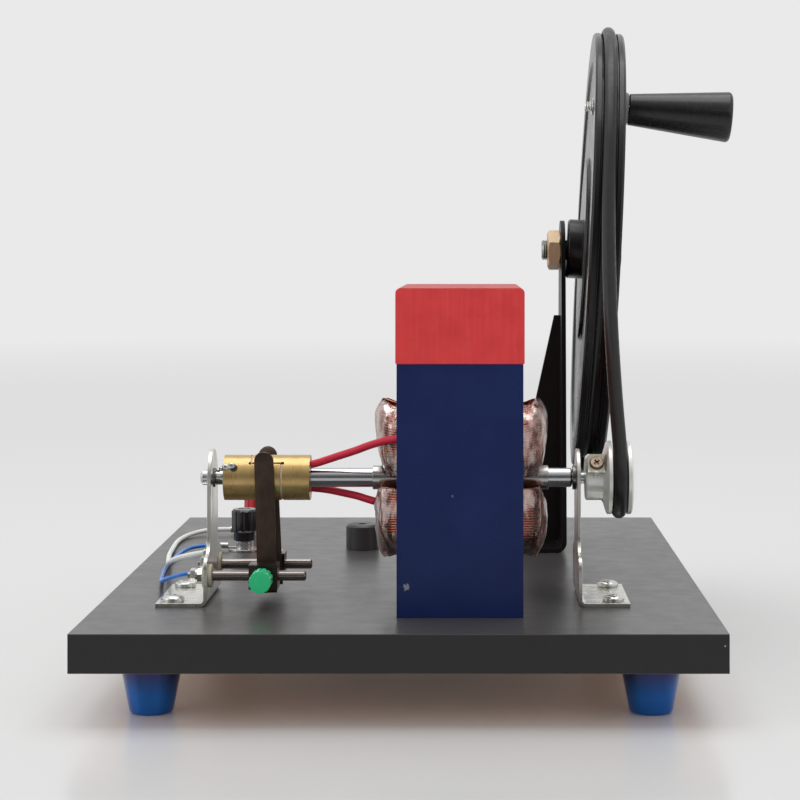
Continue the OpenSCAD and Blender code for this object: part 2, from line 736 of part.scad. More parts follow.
// Brass sleeve: an unbroken ring and a half tongue that reaches beside the other's
module commutator_sleeve() {
    tongue = comm_l - 2 * ring_l - slit_w;
    difference() {
        rod_x(0, ring_l + tongue, comm_r);
        rod_x(-over, comm_l, comm_core_r + seat);
        rotate([-slit_angle, 0, 0]) translate([ring_l, -comm_d, -slit_w / 2])
            cube([comm_l, 2 * comm_d, comm_d]);
        rotate([-slit_angle, 0, 0]) translate([ring_l, 0, 0]) rod_y(-comm_d, comm_d, slit_hole_d / 2);
    }
}
module commutator_left_sleeve() {
    color("#af914b") at_rotor() difference() {
        translate([comm_x, 0, 0]) commutator_sleeve();
        comm_screw_cut();
    }
}
module commutator_right_sleeve() {
    color("#af914b") at_rotor() translate([comm_end_x, 0, 0]) rotate([180 - 2 * slit_angle, 0, 0])
        rotate([0, 0, 180]) commutator_sleeve();
}

module commutator_screw() {
    color("silver") at_rotor() at_comm_screw(shaft_d / 2 + seat)
        cylinder(h = comm_r - comm_screw_sunk - shaft_d / 2, r = comm_screw_d / 2);
}

// Cast pulley: hub with a flat pad for its screw, and a round groove
module pulley() {
    r = pulley_d / 2;
    h = pulley_hub_d / 2;
    color("#b5bab9") at_rotor() difference() {
        union() {
            turn_x(0) polygon([[0, pulley_hub_x], [h - shaft_chamfer, pulley_hub_x],
                [h, pulley_hub_x + shaft_chamfer], [h, pulley_x0 - pulley_cone_l],
                [r - shaft_chamfer, pulley_x0], [r, pulley_x0 + shaft_chamfer],
                [r, pulley_x0 + pulley_w - shaft_chamfer], [r - shaft_chamfer, pulley_x0 + pulley_w],
                [0, pulley_x0 + pulley_w]]);
            rotate([pulley_screw_angle, 0, 0])
                translate([pulley_hub_x + shaft_chamfer, -pulley_pad_w / 2, h - pulley_pad_back])
                    cube([pulley_x0 - pulley_hub_x - shaft_chamfer, pulley_pad_w,
                        pulley_pad_back + pulley_pad_rise]);
        }
        rod_x(pulley_hub_x - over, pulley_x0 + pulley_w + over, journal_d / 2 + seat);
        turn_x(belt_x) translate([pulley_belt_r, 0]) circle(r = groove_r);
        turn_x(belt_x) translate([pulley_belt_r, -groove_r]) square([pulley_d, 2 * groove_r]);
        at_pulley_screw(0) cylinder(h = pulley_hub_d, r = pulley_screw_d / 2 + seat);
        at_pulley_screw(pulley_hub_d / 2 + pulley_pad_rise - seat)
            cylinder(h = pulley_hub_d, r = pulley_screw_head_d / 2 + seat);
    }
}
module at_pulley_screw(from) {
    rotate([pulley_screw_angle, 0, 0])
        translate([pulley_hub_x + (pulley_x0 - pulley_hub_x) / 2, 0, from]) children();
}
module pulley_set_screw() {
    top = pulley_hub_d / 2 + pulley_pad_rise - journal_d / 2 - seat;
    color("#b59a5c") at_rotor() at_pulley_screw(journal_d / 2 + seat) rotate_extrude() polygon([[0, seat],
        [pulley_screw_d / 2, seat], [pulley_screw_d / 2, top], [pulley_screw_head_d / 2, top],
        [pulley_screw_head_d / 2, top + pulley_screw_proud - shaft_chamfer],
        [pulley_screw_head_d / 2 - shaft_chamfer, top + pulley_screw_proud],
        [0, top + pulley_screw_proud]]);
}

// Brush rods, clamped in the left bracket
module brush_rod(side) {
    shoulder = left_bracket_x + rod_bush_flange_t;
    color("#a8a49c") translate([0, rotor_y + side * rod_off, rod_z]) turn_x(0)
        polygon([[0, rod_out_x], [rod_thread_d / 2, rod_out_x], [rod_thread_d / 2, shoulder],
            [rod_d / 2, shoulder], [rod_d / 2, rod_end_x - shaft_chamfer],
            [rod_d / 2 - shaft_chamfer, rod_end_x], [0, rod_end_x]]);
}
module front_brush_rod() { brush_rod(-1); }
module rear_brush_rod() { brush_rod(1); }

module rod_bushes() {
    x = left_bracket_x;
    color("#d9d6c4") translate([0, rotor_y, rod_z]) both_sides(rod_off) difference() {
        union() {
            rod_x(x - bracket_t - rod_bush_flange_t, x - bracket_t, rod_bush_flange_d / 2);
            rod_x(x - bracket_t - seat, x + seat, rod_bush_d / 2);
            rod_x(x, x + rod_bush_flange_t, rod_bush_flange_d / 2);
        }
        rod_x(x - bracket_foot_l, x + bracket_foot_l, rod_thread_d / 2 + seat);
    }
}

module rod_nuts() {
    inner = left_bracket_x - bracket_t - rod_bush_flange_t - rod_nut_t;
    color("silver") translate([0, rotor_y, rod_z]) both_sides(rod_off)
        for (x = [inner, inner - tag_t - rod_nut_t]) difference() {
            translate([x, 0, 0]) rotate([0, 90, 0]) hex(rod_nut_af, rod_nut_t);
            rod_x(x - over, x + rod_nut_t + over, rod_thread_d / 2 + seat);
        }
}

// Solder tags between the nuts of each rod, and crimped rings under the posts
module rod_tag() {
    rotate([0, -90, 0]) difference() {
        union() {
            cylinder(h = tag_t, r = rod_nut_af / 2);
            translate([0, -rod_nut_af / 4, 0]) cube([tag_reach, rod_nut_af / 2, tag_t]);
        }
        translate([0, 0, -over]) cylinder(h = tag_t + 2 * over, r = rod_thread_d / 2 + seat);
    }
}
module post_tag(lead_d) {
    r = lead_d / 2 + crimp_wall;
    z = r - crimp_drop;
    difference() {
        union() {
            cylinder(h = tag_t, r = stud_collar_d / 2);
            translate([0, -lead_d / 2, 0]) cube([post_tag_reach - crimp_l / 2, lead_d, tag_t]);
            translate([0, 0, z]) rod_x(post_tag_reach - crimp_l, post_tag_reach, r);
        }
        translate([0, 0, -over]) cylinder(h = tag_t + 2 * over, r = stud_d / 2 + seat);
        translate([0, 0, z]) rod_x(post_tag_reach - crimp_l + over, post_tag_reach + over, lead_d / 2 + seat);
    }
}
module lead_tags() {
    x = left_bracket_x - bracket_t - rod_bush_flange_t - rod_nut_t;
    color("#cfcdc4") {
        translate([x, rotor_y - rod_off, rod_z]) rotate([-90, 0, 0]) rod_tag();
        translate([x, rotor_y + rod_off, rod_z]) rod_tag();
        translate([post_x, black_post_y, board_top + post_washer_t]) rotate([0, 0, 180])
            post_tag(blue_lead_d);
        translate([post_x, red_post_y, board_top + post_washer_t]) rotate([0, 0, 180])
            post_tag(white_lead_d);
    }
}

// Brush blocks and strips slide together along the rods
module brush_block(side) {
    color("#3a332e") translate([brush_x, rotor_y + side * rod_off, rod_z]) difference() {
        translate([0, 0, -block_h / 2]) box_mid(block_w, block_d, block_h);
        rod_x(-block_w, block_w, rod_d / 2 + run);
        rotate([side > 0 ? -90 : 90, 0, 0]) cylinder(h = block_d, r = knob_screw_d / 2 + run);
    }
}
module front_brush_block() { brush_block(-1); }
module rear_brush_block() { brush_block(1); }

module brush_strip(side) {
    low = rod_h - block_h / 2 - strip_foot;
    high = rotor_h + strip_rise - strip_w / 2;
    y = side * (strip_y + strip_t / 2);
    color("#30241c") translate([brush_x, rotor_y + y - strip_t / 2, board_top]) xz(0, strip_t)
        polygon(concat([[-strip_w / 2, low], [strip_w / 2, low]], arc(0, high, strip_w / 2, 0, 180, 16)));
}
module front_brush_strip() { brush_strip(-1); }
module rear_brush_strip() { brush_strip(1); }

// Thumb screw, its fluted head facing away from the commutator
module thumb_screw(side) {
    start = rod_d / 2 + clear;
    head = block_d / 2 + knob_gap;
    translate([brush_x, rotor_y + side * rod_off, rod_z]) rotate([side > 0 ? -90 : 90, 0, 0]) {
        translate([0, 0, start]) cylinder(h = head - start, r = knob_screw_d / 2);
        translate([0, 0, head]) difference() {
            cylinder(h = knob_l, r = knob_d / 2);
            for (i = [0 : knob_flutes - 1]) rotate([0, 0, 360 * i / knob_flutes])
                translate([knob_d / 2 + knob_flute_d / 4, 0, -over])
                    cylinder(h = knob_l + 2 * over, r = knob_flute_d / 2, $fn = 16);
        }
    }
}
module front_thumb_screw() { color("#21a55f") thumb_screw(-1); }
module rear_thumb_screw() { color("#e4e2dc") thumb_screw(1); }

module blue_lead() { color("#2f66b8") lead(blue_points, blue_lead_d, 2); }
module white_lead() { color("#d5d6cf") lead(white_points, white_lead_d, 2); }

// Wheel support: bent plate, rounded round the axle, with a gusset
module wheel_support() {
    top_r = boss_d / 2;
    w = support_w / 2;
    color("#1c1c1d") difference() {
        union() {
            intersection() {
                translate([support_x, 0, board_top]) mirror([1, 0, 0])
                    xz(wheel_y - w, support_w)
                        bent_sheet(support_t, support_foot_l, wheel_h + top_r, support_bend_r);
                translate([support_x, wheel_y, board_top])
                    yz(-support_foot_l - over, support_foot_l + 2 * over)
                        polygon(concat([[-w, 0], [w, 0], [w, support_bend_r + support_t]],
                            arc(0, wheel_h, top_r, 0, 180, 24), [[-w, support_bend_r + support_t]]));
            }
            translate([support_x0 + seat, 0, board_top]) xz(wheel_y - gusset_t / 2, gusset_t)
                polygon([[0, support_t - seat], [0, gusset_h], [-gusset_top_w, gusset_h],
                    [-gusset_foot_w, support_t - seat]]);
        }
        at_wheel() rod_x(support_x0 - over, support_x + over, axle_d / 2 + seat);
        at_support_screws() translate([0, 0, -over])
            cylinder(h = support_t + 2 * over, r = bracket_screw_d / 2 + seat);
    }
}

module support_screws() {
    color("#3c3c3e") at_support_screws() translate([0, 0, support_t])
        pan_screw(bracket_head_d, bracket_screw_d, bracket_screw_l);
}

// Axle: a bolt whose head is outside the wheel
axle_head_x = wheel_x1 + hub_disc_rise + axle_washer_d / 2 * sin(wheel_tilt) + clear + axle_washer_t;
axle_end_x = support_x0 - axle_nut_t - axle_tip;
module axle_bolt() {
    color("#9b9c98") at_wheel() {
        rod_x(axle_end_x, axle_head_x + seat, axle_d / 2);
        translate([axle_head_x, 0, 0]) rotate([0, 90, 0]) hex(axle_head_af, axle_head_t);
    }
}
module axle_nut() {
    x = support_x0 - axle_nut_t;
    color("#c08a68") at_wheel() difference() {
        translate([x, 0, 0]) rotate([axle_nut_turn, 0, 0]) rotate([0, 90, 0]) hex(axle_head_af, axle_nut_t);
        rod_x(x - over, x + axle_nut_t + over, axle_d / 2 + seat);
    }
}
module axle_washer() {
    x = axle_head_x - axle_washer_t;
    color("#b9b48f") at_wheel() difference() {
        rod_x(x, x + axle_washer_t, axle_washer_d / 2);
        rod_x(x - over, x + axle_washer_t + over, axle_d / 2 + seat);
    }
}

// Moulded wheel: grooved rim, shallow recess each side, raised disc and boss
module drive_wheel() {
    ring = wheel_r - rim_ring_w;
    disc = hub_disc_d / 2;
    boss = boss_d / 2;
    e = wheel_edge;
    color("#1d1d1f") difference() {
        union() {
            on_wheel() turn_x(0) polygon([[0, boss_x], [boss - e, boss_x], [boss, boss_x + e],
                [boss, wheel_x0 - hub_disc_rise], [disc - e, wheel_x0 - hub_disc_rise],
                [disc, wheel_x0 - hub_disc_rise + e], [disc, wheel_x0 + web_recess],
                [ring - e, wheel_x0 + web_recess], [ring, wheel_x0], [wheel_r - e, wheel_x0],
                [wheel_r, wheel_x0 + e], [wheel_r, wheel_x1 - e], [wheel_r - e, wheel_x1],
                [ring, wheel_x1], [ring - e, wheel_x1 - web_recess], [disc, wheel_x1 - web_recess],
                [disc, wheel_x1 + hub_disc_rise - e], [disc - e, wheel_x1 + hub_disc_rise],
                [0, wheel_x1 + hub_disc_rise]]);
            at_handle() rod_x(wheel_x0 + web_recess + over, wheel_x1, pad_d / 2);
        }
        on_wheel() turn_x(belt_x) translate([wheel_r, 0]) circle(r = groove_r);
        on_wheel() turn_x(belt_x) translate([wheel_r - groove_r / 2, -groove_side])
            square([groove_r, 2 * groove_side]);
        on_wheel() rod_x(boss_x - over, wheel_x1 + hub_disc_rise + over, wheel_bore_r);
        at_handle() rod_x(wheel_x0 - over, wheel_x1 + over, handle_bolt_d / 2 + seat);
        at_handle() translate([wheel_x0 - over, 0, 0]) rotate([0, 90, 0])
            hex(handle_nut_af + 2 * seat, over + web_recess + nut_pocket);
    }
}

// Round belt: an arc in the leaning wheel's groove, an arc in the pulley's groove,
// and two runs that cross from one plane to the other
belt_wheel_steps = 40;
belt_pulley_steps = 10;
belt_run_steps = 6;
belt_ease_share = 0.1;
belt_sides = 12;
belt_dy = rotor_y - wheel_y;
belt_dz = rotor_z - wheel_z;
belt_dir = atan2(belt_dz, belt_dy);
belt_open = acos((wheel_r - pulley_belt_r) / norm([belt_dy, belt_dz]));
function on_rim(y, z) = [
    belt_x + cos(wheel_toe) * sin(wheel_lean) * z + sin(wheel_toe) * y,
    wheel_y - sin(wheel_toe) * sin(wheel_lean) * z + cos(wheel_toe) * y,
    wheel_z + cos(wheel_lean) * z];
function eased_in(u) = (u < belt_ease_share ? u * u / 2 / belt_ease_share
    : u > 1 - belt_ease_share ? 1 - belt_ease_share - pow(1 - u, 2) / 2 / belt_ease_share
    : u - belt_ease_share / 2) / (1 - belt_ease_share);
function belt_leave(a, u) = let (p = on_rim(wheel_r * cos(a), wheel_r * sin(a)),
        q = [belt_x, rotor_y + pulley_belt_r * cos(a), rotor_z + pulley_belt_r * sin(a)],
        dy = p[1] + (q[1] - p[1]) * u - wheel_y, dz = p[2] + (q[2] - p[2]) * u - wheel_z,
        plane_x = belt_x + (tan(wheel_lean) * dz + tan(wheel_toe) / cos(wheel_lean) * dy))
    [plane_x + (belt_x - plane_x) * eased_in(u), dy + wheel_y, dz + wheel_z];
belt_path = concat(
    [for (i = [0 : belt_wheel_steps])
        let (a = belt_dir + belt_open + (360 - 2 * belt_open) * i / belt_wheel_steps)
        on_rim(wheel_r * cos(a), wheel_r * sin(a))],
    [for (i = [1 : belt_run_steps - 1]) belt_leave(belt_dir - belt_open, i / belt_run_steps)],
    [for (i = [0 : belt_pulley_steps]) let (a = belt_dir - belt_open + 2 * belt_open * i / belt_pulley_steps)
        [belt_x, rotor_y + pulley_belt_r * cos(a), rotor_z + pulley_belt_r * sin(a)]],
    [for (i = [1 : belt_run_steps - 1]) belt_leave(belt_dir + belt_open, 1 - i / belt_run_steps)]);
module drive_belt() {
    n = len(belt_path);
    m = belt_sides;
    rings = [for (i = [0 : n - 1]) let (t = unit(belt_path[(i + 1) % n] - belt_path[(i + n - 1) % n]),
            out = unit(cross(t, [1, 0, 0])), side = cross(out, t))
        for (k = [0 : m - 1])
            belt_path[i] + belt_r * (cos(360 * k / m) * out - sin(360 * k / m) * side)];
    color("#232325") polyhedron(rings,
        [for (i = [0 : n - 1]) for (k = [0 : m - 1])
            let (a = i * m + k, b = i * m + (k + 1) % m, c = (i + 1) % n * m + k,
                d = (i + 1) % n * m + (k + 1) % m)
                each [[a, c, b], [b, c, d]]]);
}

// Crank handle: bolt, nut, tapered collar and free-turning grip
handle_nut_x = wheel_x0 + web_recess + nut_pocket - handle_nut_t;
handle_head_x = grip_x + grip_l - grip_recess + clear;
module handle_bolt() {
    color("silver") at_handle() {
        rod_x(handle_nut_x - handle_tip, handle_head_x + seat, handle_bolt_d / 2);
        rod_x(handle_head_x, handle_head_x + handle_head_t, handle_head_d / 2);
    }
}
module handle_nut() {
    color("silver") at_handle() difference() {
        translate([handle_nut_x, 0, 0]) rotate([0, 90, 0]) hex(handle_nut_af, handle_nut_t);
        rod_x(handle_nut_x - over, handle_nut_x + handle_nut_t + over, handle_bolt_d / 2 + seat);
    }
}
module handle_collar() {
    bore = handle_bolt_d / 2 + seat;
    color("#2a2a2c") at_handle() turn_x(0) polygon([[bore, wheel_x1], [collar_d / 2, wheel_x1],
        [grip_near_d / 2, wheel_x1 + collar_l], [bore, wheel_x1 + collar_l]]);
}
module crank_grip() {
    bore = handle_bolt_d / 2 + run;
    far = grip_far_d / 2;
    color("#242426") at_handle() turn_x(0) polygon(concat(
        [[bore, grip_x], [grip_near_d / 2, grip_x]],
        [[far, grip_x + grip_l - grip_round]],
        arc(far - grip_round, grip_x + grip_l - grip_round, grip_round, 0, 90, 5),
        [[grip_recess_d / 2, grip_x + grip_l], [grip_recess_d / 2, grip_x + grip_l - grip_recess],
            [bore, grip_x + grip_l - grip_recess]]));
}
grip_recess_d = 10.5;

// Binding posts
cap_z = post_washer_t + tag_t + stud_collar_h + clear;
module terminal_studs() {
    low = -base_t - stud_below;
    seat_z = post_washer_t + tag_t;
    top = cap_z + cap_h - clear;
    color("#c3b57e") at_posts() rotate_extrude() polygon([[0, low], [stud_d / 2, low],
        [stud_d / 2, seat_z], [stud_collar_d / 2, seat_z], [stud_collar_d / 2, seat_z + stud_collar_h],
        [stud_d / 2, seat_z + stud_collar_h], [stud_d / 2, top], [socket_d / 2, top],
        [socket_d / 2, top - socket_deep], [0, top - socket_deep]]);
}
module terminal_washers() {
    color("silver") at_posts() difference() {
        cylinder(h = post_washer_t, r = post_washer_d / 2);
        translate([0, 0, -over]) cylinder(h = post_washer_t + 2 * over, r = stud_d / 2 + seat);
    }
}
module terminal_nuts() {
    color("silver") at_posts() translate([0, 0, -base_t - post_nut_t]) difference() {
        hex(post_nut_af, post_nut_t);
        translate([0, 0, -over]) cylinder(h = post_nut_t + 2 * over, r = stud_d / 2 + seat);
    }
}
module post_cap(y) {
    r = cap_d / 2;
    translate([post_x, y, board_top + cap_z]) difference() {
        rotate_extrude() polygon([[0, 0], [cap_low_d / 2, 0], [cap_low_d / 2, cap_low_h],
            [r, cap_low_h + cap_round], [r, cap_h - cap_round], [r - cap_round, cap_h], [0, cap_h]]);
        translate([0, 0, -over]) cylinder(h = cap_h + 2 * over, r = stud_d / 2 + run);
        for (i = [0 : cap_flutes - 1]) rotate([0, 0, 360 * i / cap_flutes])
            translate([r + cap_flute_d / 4, 0, cap_low_h]) cylinder(h = cap_h, r = cap_flute_d / 2, $fn = 16);
    }
}
module black_post_cap() { color("#1c1c1e") post_cap(black_post_y); }
module red_post_cap() { color("#d2242c") post_cap(red_post_y); }

module lamp_socket() {
    r = lamp_d / 2;
    color("#4a4c50") translate([lamp_x, lamp_y, board_top]) rotate_extrude() polygon([
        [0, -lamp_spigot_l], [lamp_spigot_d / 2, -lamp_spigot_l], [lamp_spigot_d / 2, 0], [r, 0],
        [r, lamp_h - lamp_edge], [r - lamp_edge, lamp_h], [socket_d / 2, lamp_h],
        [socket_d / 2, lamp_h - lamp_socket_deep], [0, lamp_h - lamp_socket_deep]]);
}

// Moves the whole object so that the origin is under the middle of its box
module seated() { translate([origin_x, origin_y, 0]) children(); }

seated() base_board();
seated() feet();
seated() foot_screws();
seated() magnet_front_leg();
seated() magnet_yoke();
seated() magnet_rear_leg();
seated() magnet_screws();
seated() left_bearing_bracket();
seated() right_bearing_bracket();
seated() bracket_screws();
seated() left_bearing_bush();
seated() right_bearing_bush();
seated() rotor_shaft();
seated() shaft_nut();
seated() armature_core();
seated() shaft_insulation();
seated() upper_coil_inner_turns();
seated() lower_coil_inner_turns();
seated() upper_coil_winding();
seated() lower_coil_winding();
seated() upper_red_lead();
seated() lower_red_lead();
seated() commutator_core();
seated() commutator_left_sleeve();
seated() commutator_right_sleeve();
seated() commutator_screw();
seated() pulley();
seated() pulley_set_screw();
seated() front_brush_rod();
seated() rear_brush_rod();
seated() rod_bushes();
seated() rod_nuts();
seated() lead_tags();
seated() front_brush_block();
seated() rear_brush_block();
seated() front_brush_strip();
seated() rear_brush_strip();
seated() front_thumb_screw();
seated() rear_thumb_screw();
seated() blue_lead();
seated() white_lead();
seated() wheel_support();
seated() support_screws();
seated() axle_bolt();
seated() axle_nut();
seated() axle_washer();
seated() drive_wheel();
seated() drive_belt();
seated() handle_bolt();
seated() handle_nut();
seated() handle_collar();
seated() crank_grip();
seated() terminal_studs();
seated() terminal_washers();
seated() terminal_nuts();
seated() black_post_cap();
seated() red_post_cap();
seated() lamp_socket();
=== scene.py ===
import json
from math import acos, atan2, cos, hypot, pi, radians, sin, sqrt, tan

import bmesh
import bpy
from mathutils import Matrix, Vector, noise

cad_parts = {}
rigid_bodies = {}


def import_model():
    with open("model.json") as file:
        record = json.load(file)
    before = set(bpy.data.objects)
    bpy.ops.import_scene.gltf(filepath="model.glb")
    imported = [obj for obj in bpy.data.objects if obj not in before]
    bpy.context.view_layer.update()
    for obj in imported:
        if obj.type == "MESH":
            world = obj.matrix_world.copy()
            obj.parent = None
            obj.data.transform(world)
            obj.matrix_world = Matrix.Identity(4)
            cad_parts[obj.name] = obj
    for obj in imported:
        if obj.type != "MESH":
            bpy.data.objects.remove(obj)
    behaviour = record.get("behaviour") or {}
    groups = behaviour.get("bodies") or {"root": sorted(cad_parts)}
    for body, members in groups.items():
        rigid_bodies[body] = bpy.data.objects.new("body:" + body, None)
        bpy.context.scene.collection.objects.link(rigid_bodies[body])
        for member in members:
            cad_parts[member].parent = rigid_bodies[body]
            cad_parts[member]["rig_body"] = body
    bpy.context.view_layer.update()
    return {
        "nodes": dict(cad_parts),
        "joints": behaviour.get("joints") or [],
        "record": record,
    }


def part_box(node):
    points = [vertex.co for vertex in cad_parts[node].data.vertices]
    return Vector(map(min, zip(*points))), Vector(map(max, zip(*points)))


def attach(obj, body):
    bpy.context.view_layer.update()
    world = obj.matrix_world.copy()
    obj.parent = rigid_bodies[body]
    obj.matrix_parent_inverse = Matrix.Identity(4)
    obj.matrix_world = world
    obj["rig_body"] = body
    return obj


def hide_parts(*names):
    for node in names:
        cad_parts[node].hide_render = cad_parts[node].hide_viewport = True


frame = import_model()
scene = bpy.context.scene
scene.view_settings.view_transform = "Standard"

mm = 0.001
boardLow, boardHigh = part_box("base_board")
boardTop = boardHigh.z
middle = Vector(((boardLow.x + boardHigh.x) / 2, (boardLow.y + boardHigh.y) / 2, 0))


def spot(x, y, z=0.0):  # millimetres from the board's middle, heights from the board's top
    return middle + Vector((x, y, z)) * mm + Vector((0, 0, boardTop))


def centre(node):
    low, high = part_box(node)
    return (low + high) / 2


joints = {joint["name"]: joint for joint in frame["joints"]}


def leaned(name):  # turn that takes X to a joint's axis
    return Vector((1, 0, 0)).rotation_difference(Vector(joints[name]["axis"])).to_matrix().to_4x4()


camera = {"across": 27.3, "back": -919.7, "above": 144.9, "lens": 90, "shift": (-0.0886, -0.1872)}


def addCamera():
    data = bpy.data.cameras.new("photoCamera")
    data.lens = camera["lens"]
    data.sensor_width = 36
    data.clip_end = 50
    eye = bpy.data.objects.new("photoCamera", data)
    eye.location = spot(camera["across"], camera["back"], camera["above"])
    eye.rotation_euler = (radians(90), 0, 0)
    data.shift_x, data.shift_y = camera["shift"]
    scene.collection.objects.link(eye)
    scene.camera = eye


addCamera()
print("camera placed")


def newFinish(name, colour, metallic=0.0, roughness=0.5, **sockets):
    finish = bpy.data.materials.new(name)
    finish.use_nodes = True
    shader = finish.node_tree.nodes["Principled BSDF"]
    shader.inputs["Base Color"].default_value = (*colour, 1)
    shader.inputs["Metallic"].default_value = metallic
    shader.inputs["Roughness"].default_value = roughness
    for socket, value in sockets.items():
        shader.inputs[socket.replace("_", " ")].default_value = value
    return finish


def objectPoints(finish, scale=(1, 1, 1), turn=(0, 0, 0)):
    nodes, links = finish.node_tree.nodes, finish.node_tree.links
    where = nodes.new("ShaderNodeTexCoord")
    mapping = nodes.new("ShaderNodeMapping")
    mapping.inputs["Scale"].default_value = scale
    mapping.inputs["Rotation"].default_value = turn
    links.new(where.outputs["Object"], mapping.inputs["Vector"])
    return mapping.outputs["Vector"]


def noiseOn(finish, size, detail=3.0, stretch=(1, 1, 1), rough=0.5):
    nodes, links = finish.node_tree.nodes, finish.node_tree.links
    cloud = nodes.new("ShaderNodeTexNoise")
    cloud.inputs["Scale"].default_value = 1 / (size * mm)
    cloud.inputs["Detail"].default_value = detail
    cloud.inputs["Roughness"].default_value = rough
    links.new(objectPoints(finish, stretch), cloud.inputs["Vector"])
    return cloud.outputs["Fac"]


def ranged(finish, source, low, high, start=0.3, end=0.7):
    nodes, links = finish.node_tree.nodes, finish.node_tree.links
    spread = nodes.new("ShaderNodeMapRange")
    spread.inputs["From Min"].default_value = start
    spread.inputs["From Max"].default_value = end
    spread.inputs["To Min"].default_value = low
    spread.inputs["To Max"].default_value = high
    links.new(source, spread.inputs["Value"])
    return spread.outputs["Result"]


def roughen(finish, size, low, high, stretch=(1, 1, 1)):
    shader = finish.node_tree.nodes["Principled BSDF"]
    spread = ranged(finish, noiseOn(finish, size, 4, stretch), low, high)
    finish.node_tree.links.new(spread, shader.inputs["Roughness"])


def relief(finish, size, strength, depth, stretch=(1, 1, 1), detail=3.0):
    nodes, links = finish.node_tree.nodes, finish.node_tree.links
    shader = nodes["Principled BSDF"]
    bump = nodes.new("ShaderNodeBump")
    bump.inputs["Strength"].default_value = strength
    bump.inputs["Distance"].default_value = depth * mm
    links.new(noiseOn(finish, size, detail, stretch), bump.inputs["Height"])
    if shader.inputs["Normal"].is_linked:
        links.new(shader.inputs["Normal"].links[0].from_socket, bump.inputs["Normal"])
    links.new(bump.outputs["Normal"], shader.inputs["Normal"])


def tint(finish, other, share):  # mixes the other colour in by a 0 to 1 share
    nodes, links = finish.node_tree.nodes, finish.node_tree.links
    base = nodes["Principled BSDF"].inputs["Base Color"]
    mix = nodes.new("ShaderNodeMix")
    mix.data_type = "RGBA"
    mix.inputs["A"].default_value = base.default_value
    if base.is_linked:
        links.new(base.links[0].from_socket, mix.inputs["A"])
    mix.inputs["B"].default_value = (*other, 1)
    links.new(share, mix.inputs["Factor"])
    links.new(mix.outputs["Result"], base)
    return mix


def nodesProduct(finish, a, b):
    times = finish.node_tree.nodes.new("ShaderNodeMath")
    times.operation = "MULTIPLY"
    finish.node_tree.links.new(a, times.inputs[0])
    finish.node_tree.links.new(b, times.inputs[1])
    return times.outputs["Value"]


def mottle(finish, other, size, most=0.5, stretch=(1, 1, 1)):
    tint(finish, other, ranged(finish, noiseOn(finish, size, 5, stretch), 0, most, 0.35, 0.75))


def byHeight(finish, low, high, atLow=0.0, atHigh=1.0):  # share that changes between two heights in metres
    nodes, links = finish.node_tree.nodes, finish.node_tree.links
    where = nodes.new("ShaderNodeTexCoord")
    parts = nodes.new("ShaderNodeSeparateXYZ")
    links.new(where.outputs["Object"], parts.inputs["Vector"])
    return ranged(finish, parts.outputs["Z"], atLow, atHigh, low, high)


def fleck(finish, place, radius, ragged=0.35):  # share that is 1 in one small ragged patch
    nodes, links = finish.node_tree.nodes, finish.node_tree.links
    where = nodes.new("ShaderNodeTexCoord")
    away = nodes.new("ShaderNodeVectorMath")
    away.operation = "DISTANCE"
    away.inputs[1].default_value = place
    links.new(where.outputs["Object"], away.inputs[0])
    wobble = nodes.new("ShaderNodeMath")
    wobble.operation = "MULTIPLY_ADD"
    wobble.inputs[1].default_value = radius * mm * ragged * 4
    wobble.inputs[2].default_value = -radius * mm * ragged * 2
    links.new(noiseOn(finish, radius * 0.7, 4), wobble.inputs[0])
    total = nodes.new("ShaderNodeMath")
    links.new(away.outputs["Value"], total.inputs[0])
    links.new(wobble.outputs["Value"], total.inputs[1])
    return ranged(finish, total.outputs["Value"], 1, 0, radius * mm * 0.85, radius * mm * 1.1)


finishes = {}


def metal(name, colour, roughness, grain=(1, 1, 1), size=0.6, spread=0.12, depth=0.01):
    made = newFinish(name, colour, 1.0, roughness)
    roughen(made, size * 3, max(roughness - spread, 0.05), roughness + spread, grain)
    relief(made, size, 0.35, depth, grain, 4)
    finishes[name] = made
    return made


def plastic(name, colour, roughness, size=0.8, depth=0.015, **sockets):
    made = newFinish(name, colour, 0.0, roughness, **sockets)
    roughen(made, size * 6, roughness * 0.75, roughness * 1.25)
    relief(made, size, 0.3, depth)
    finishes[name] = made
    return made


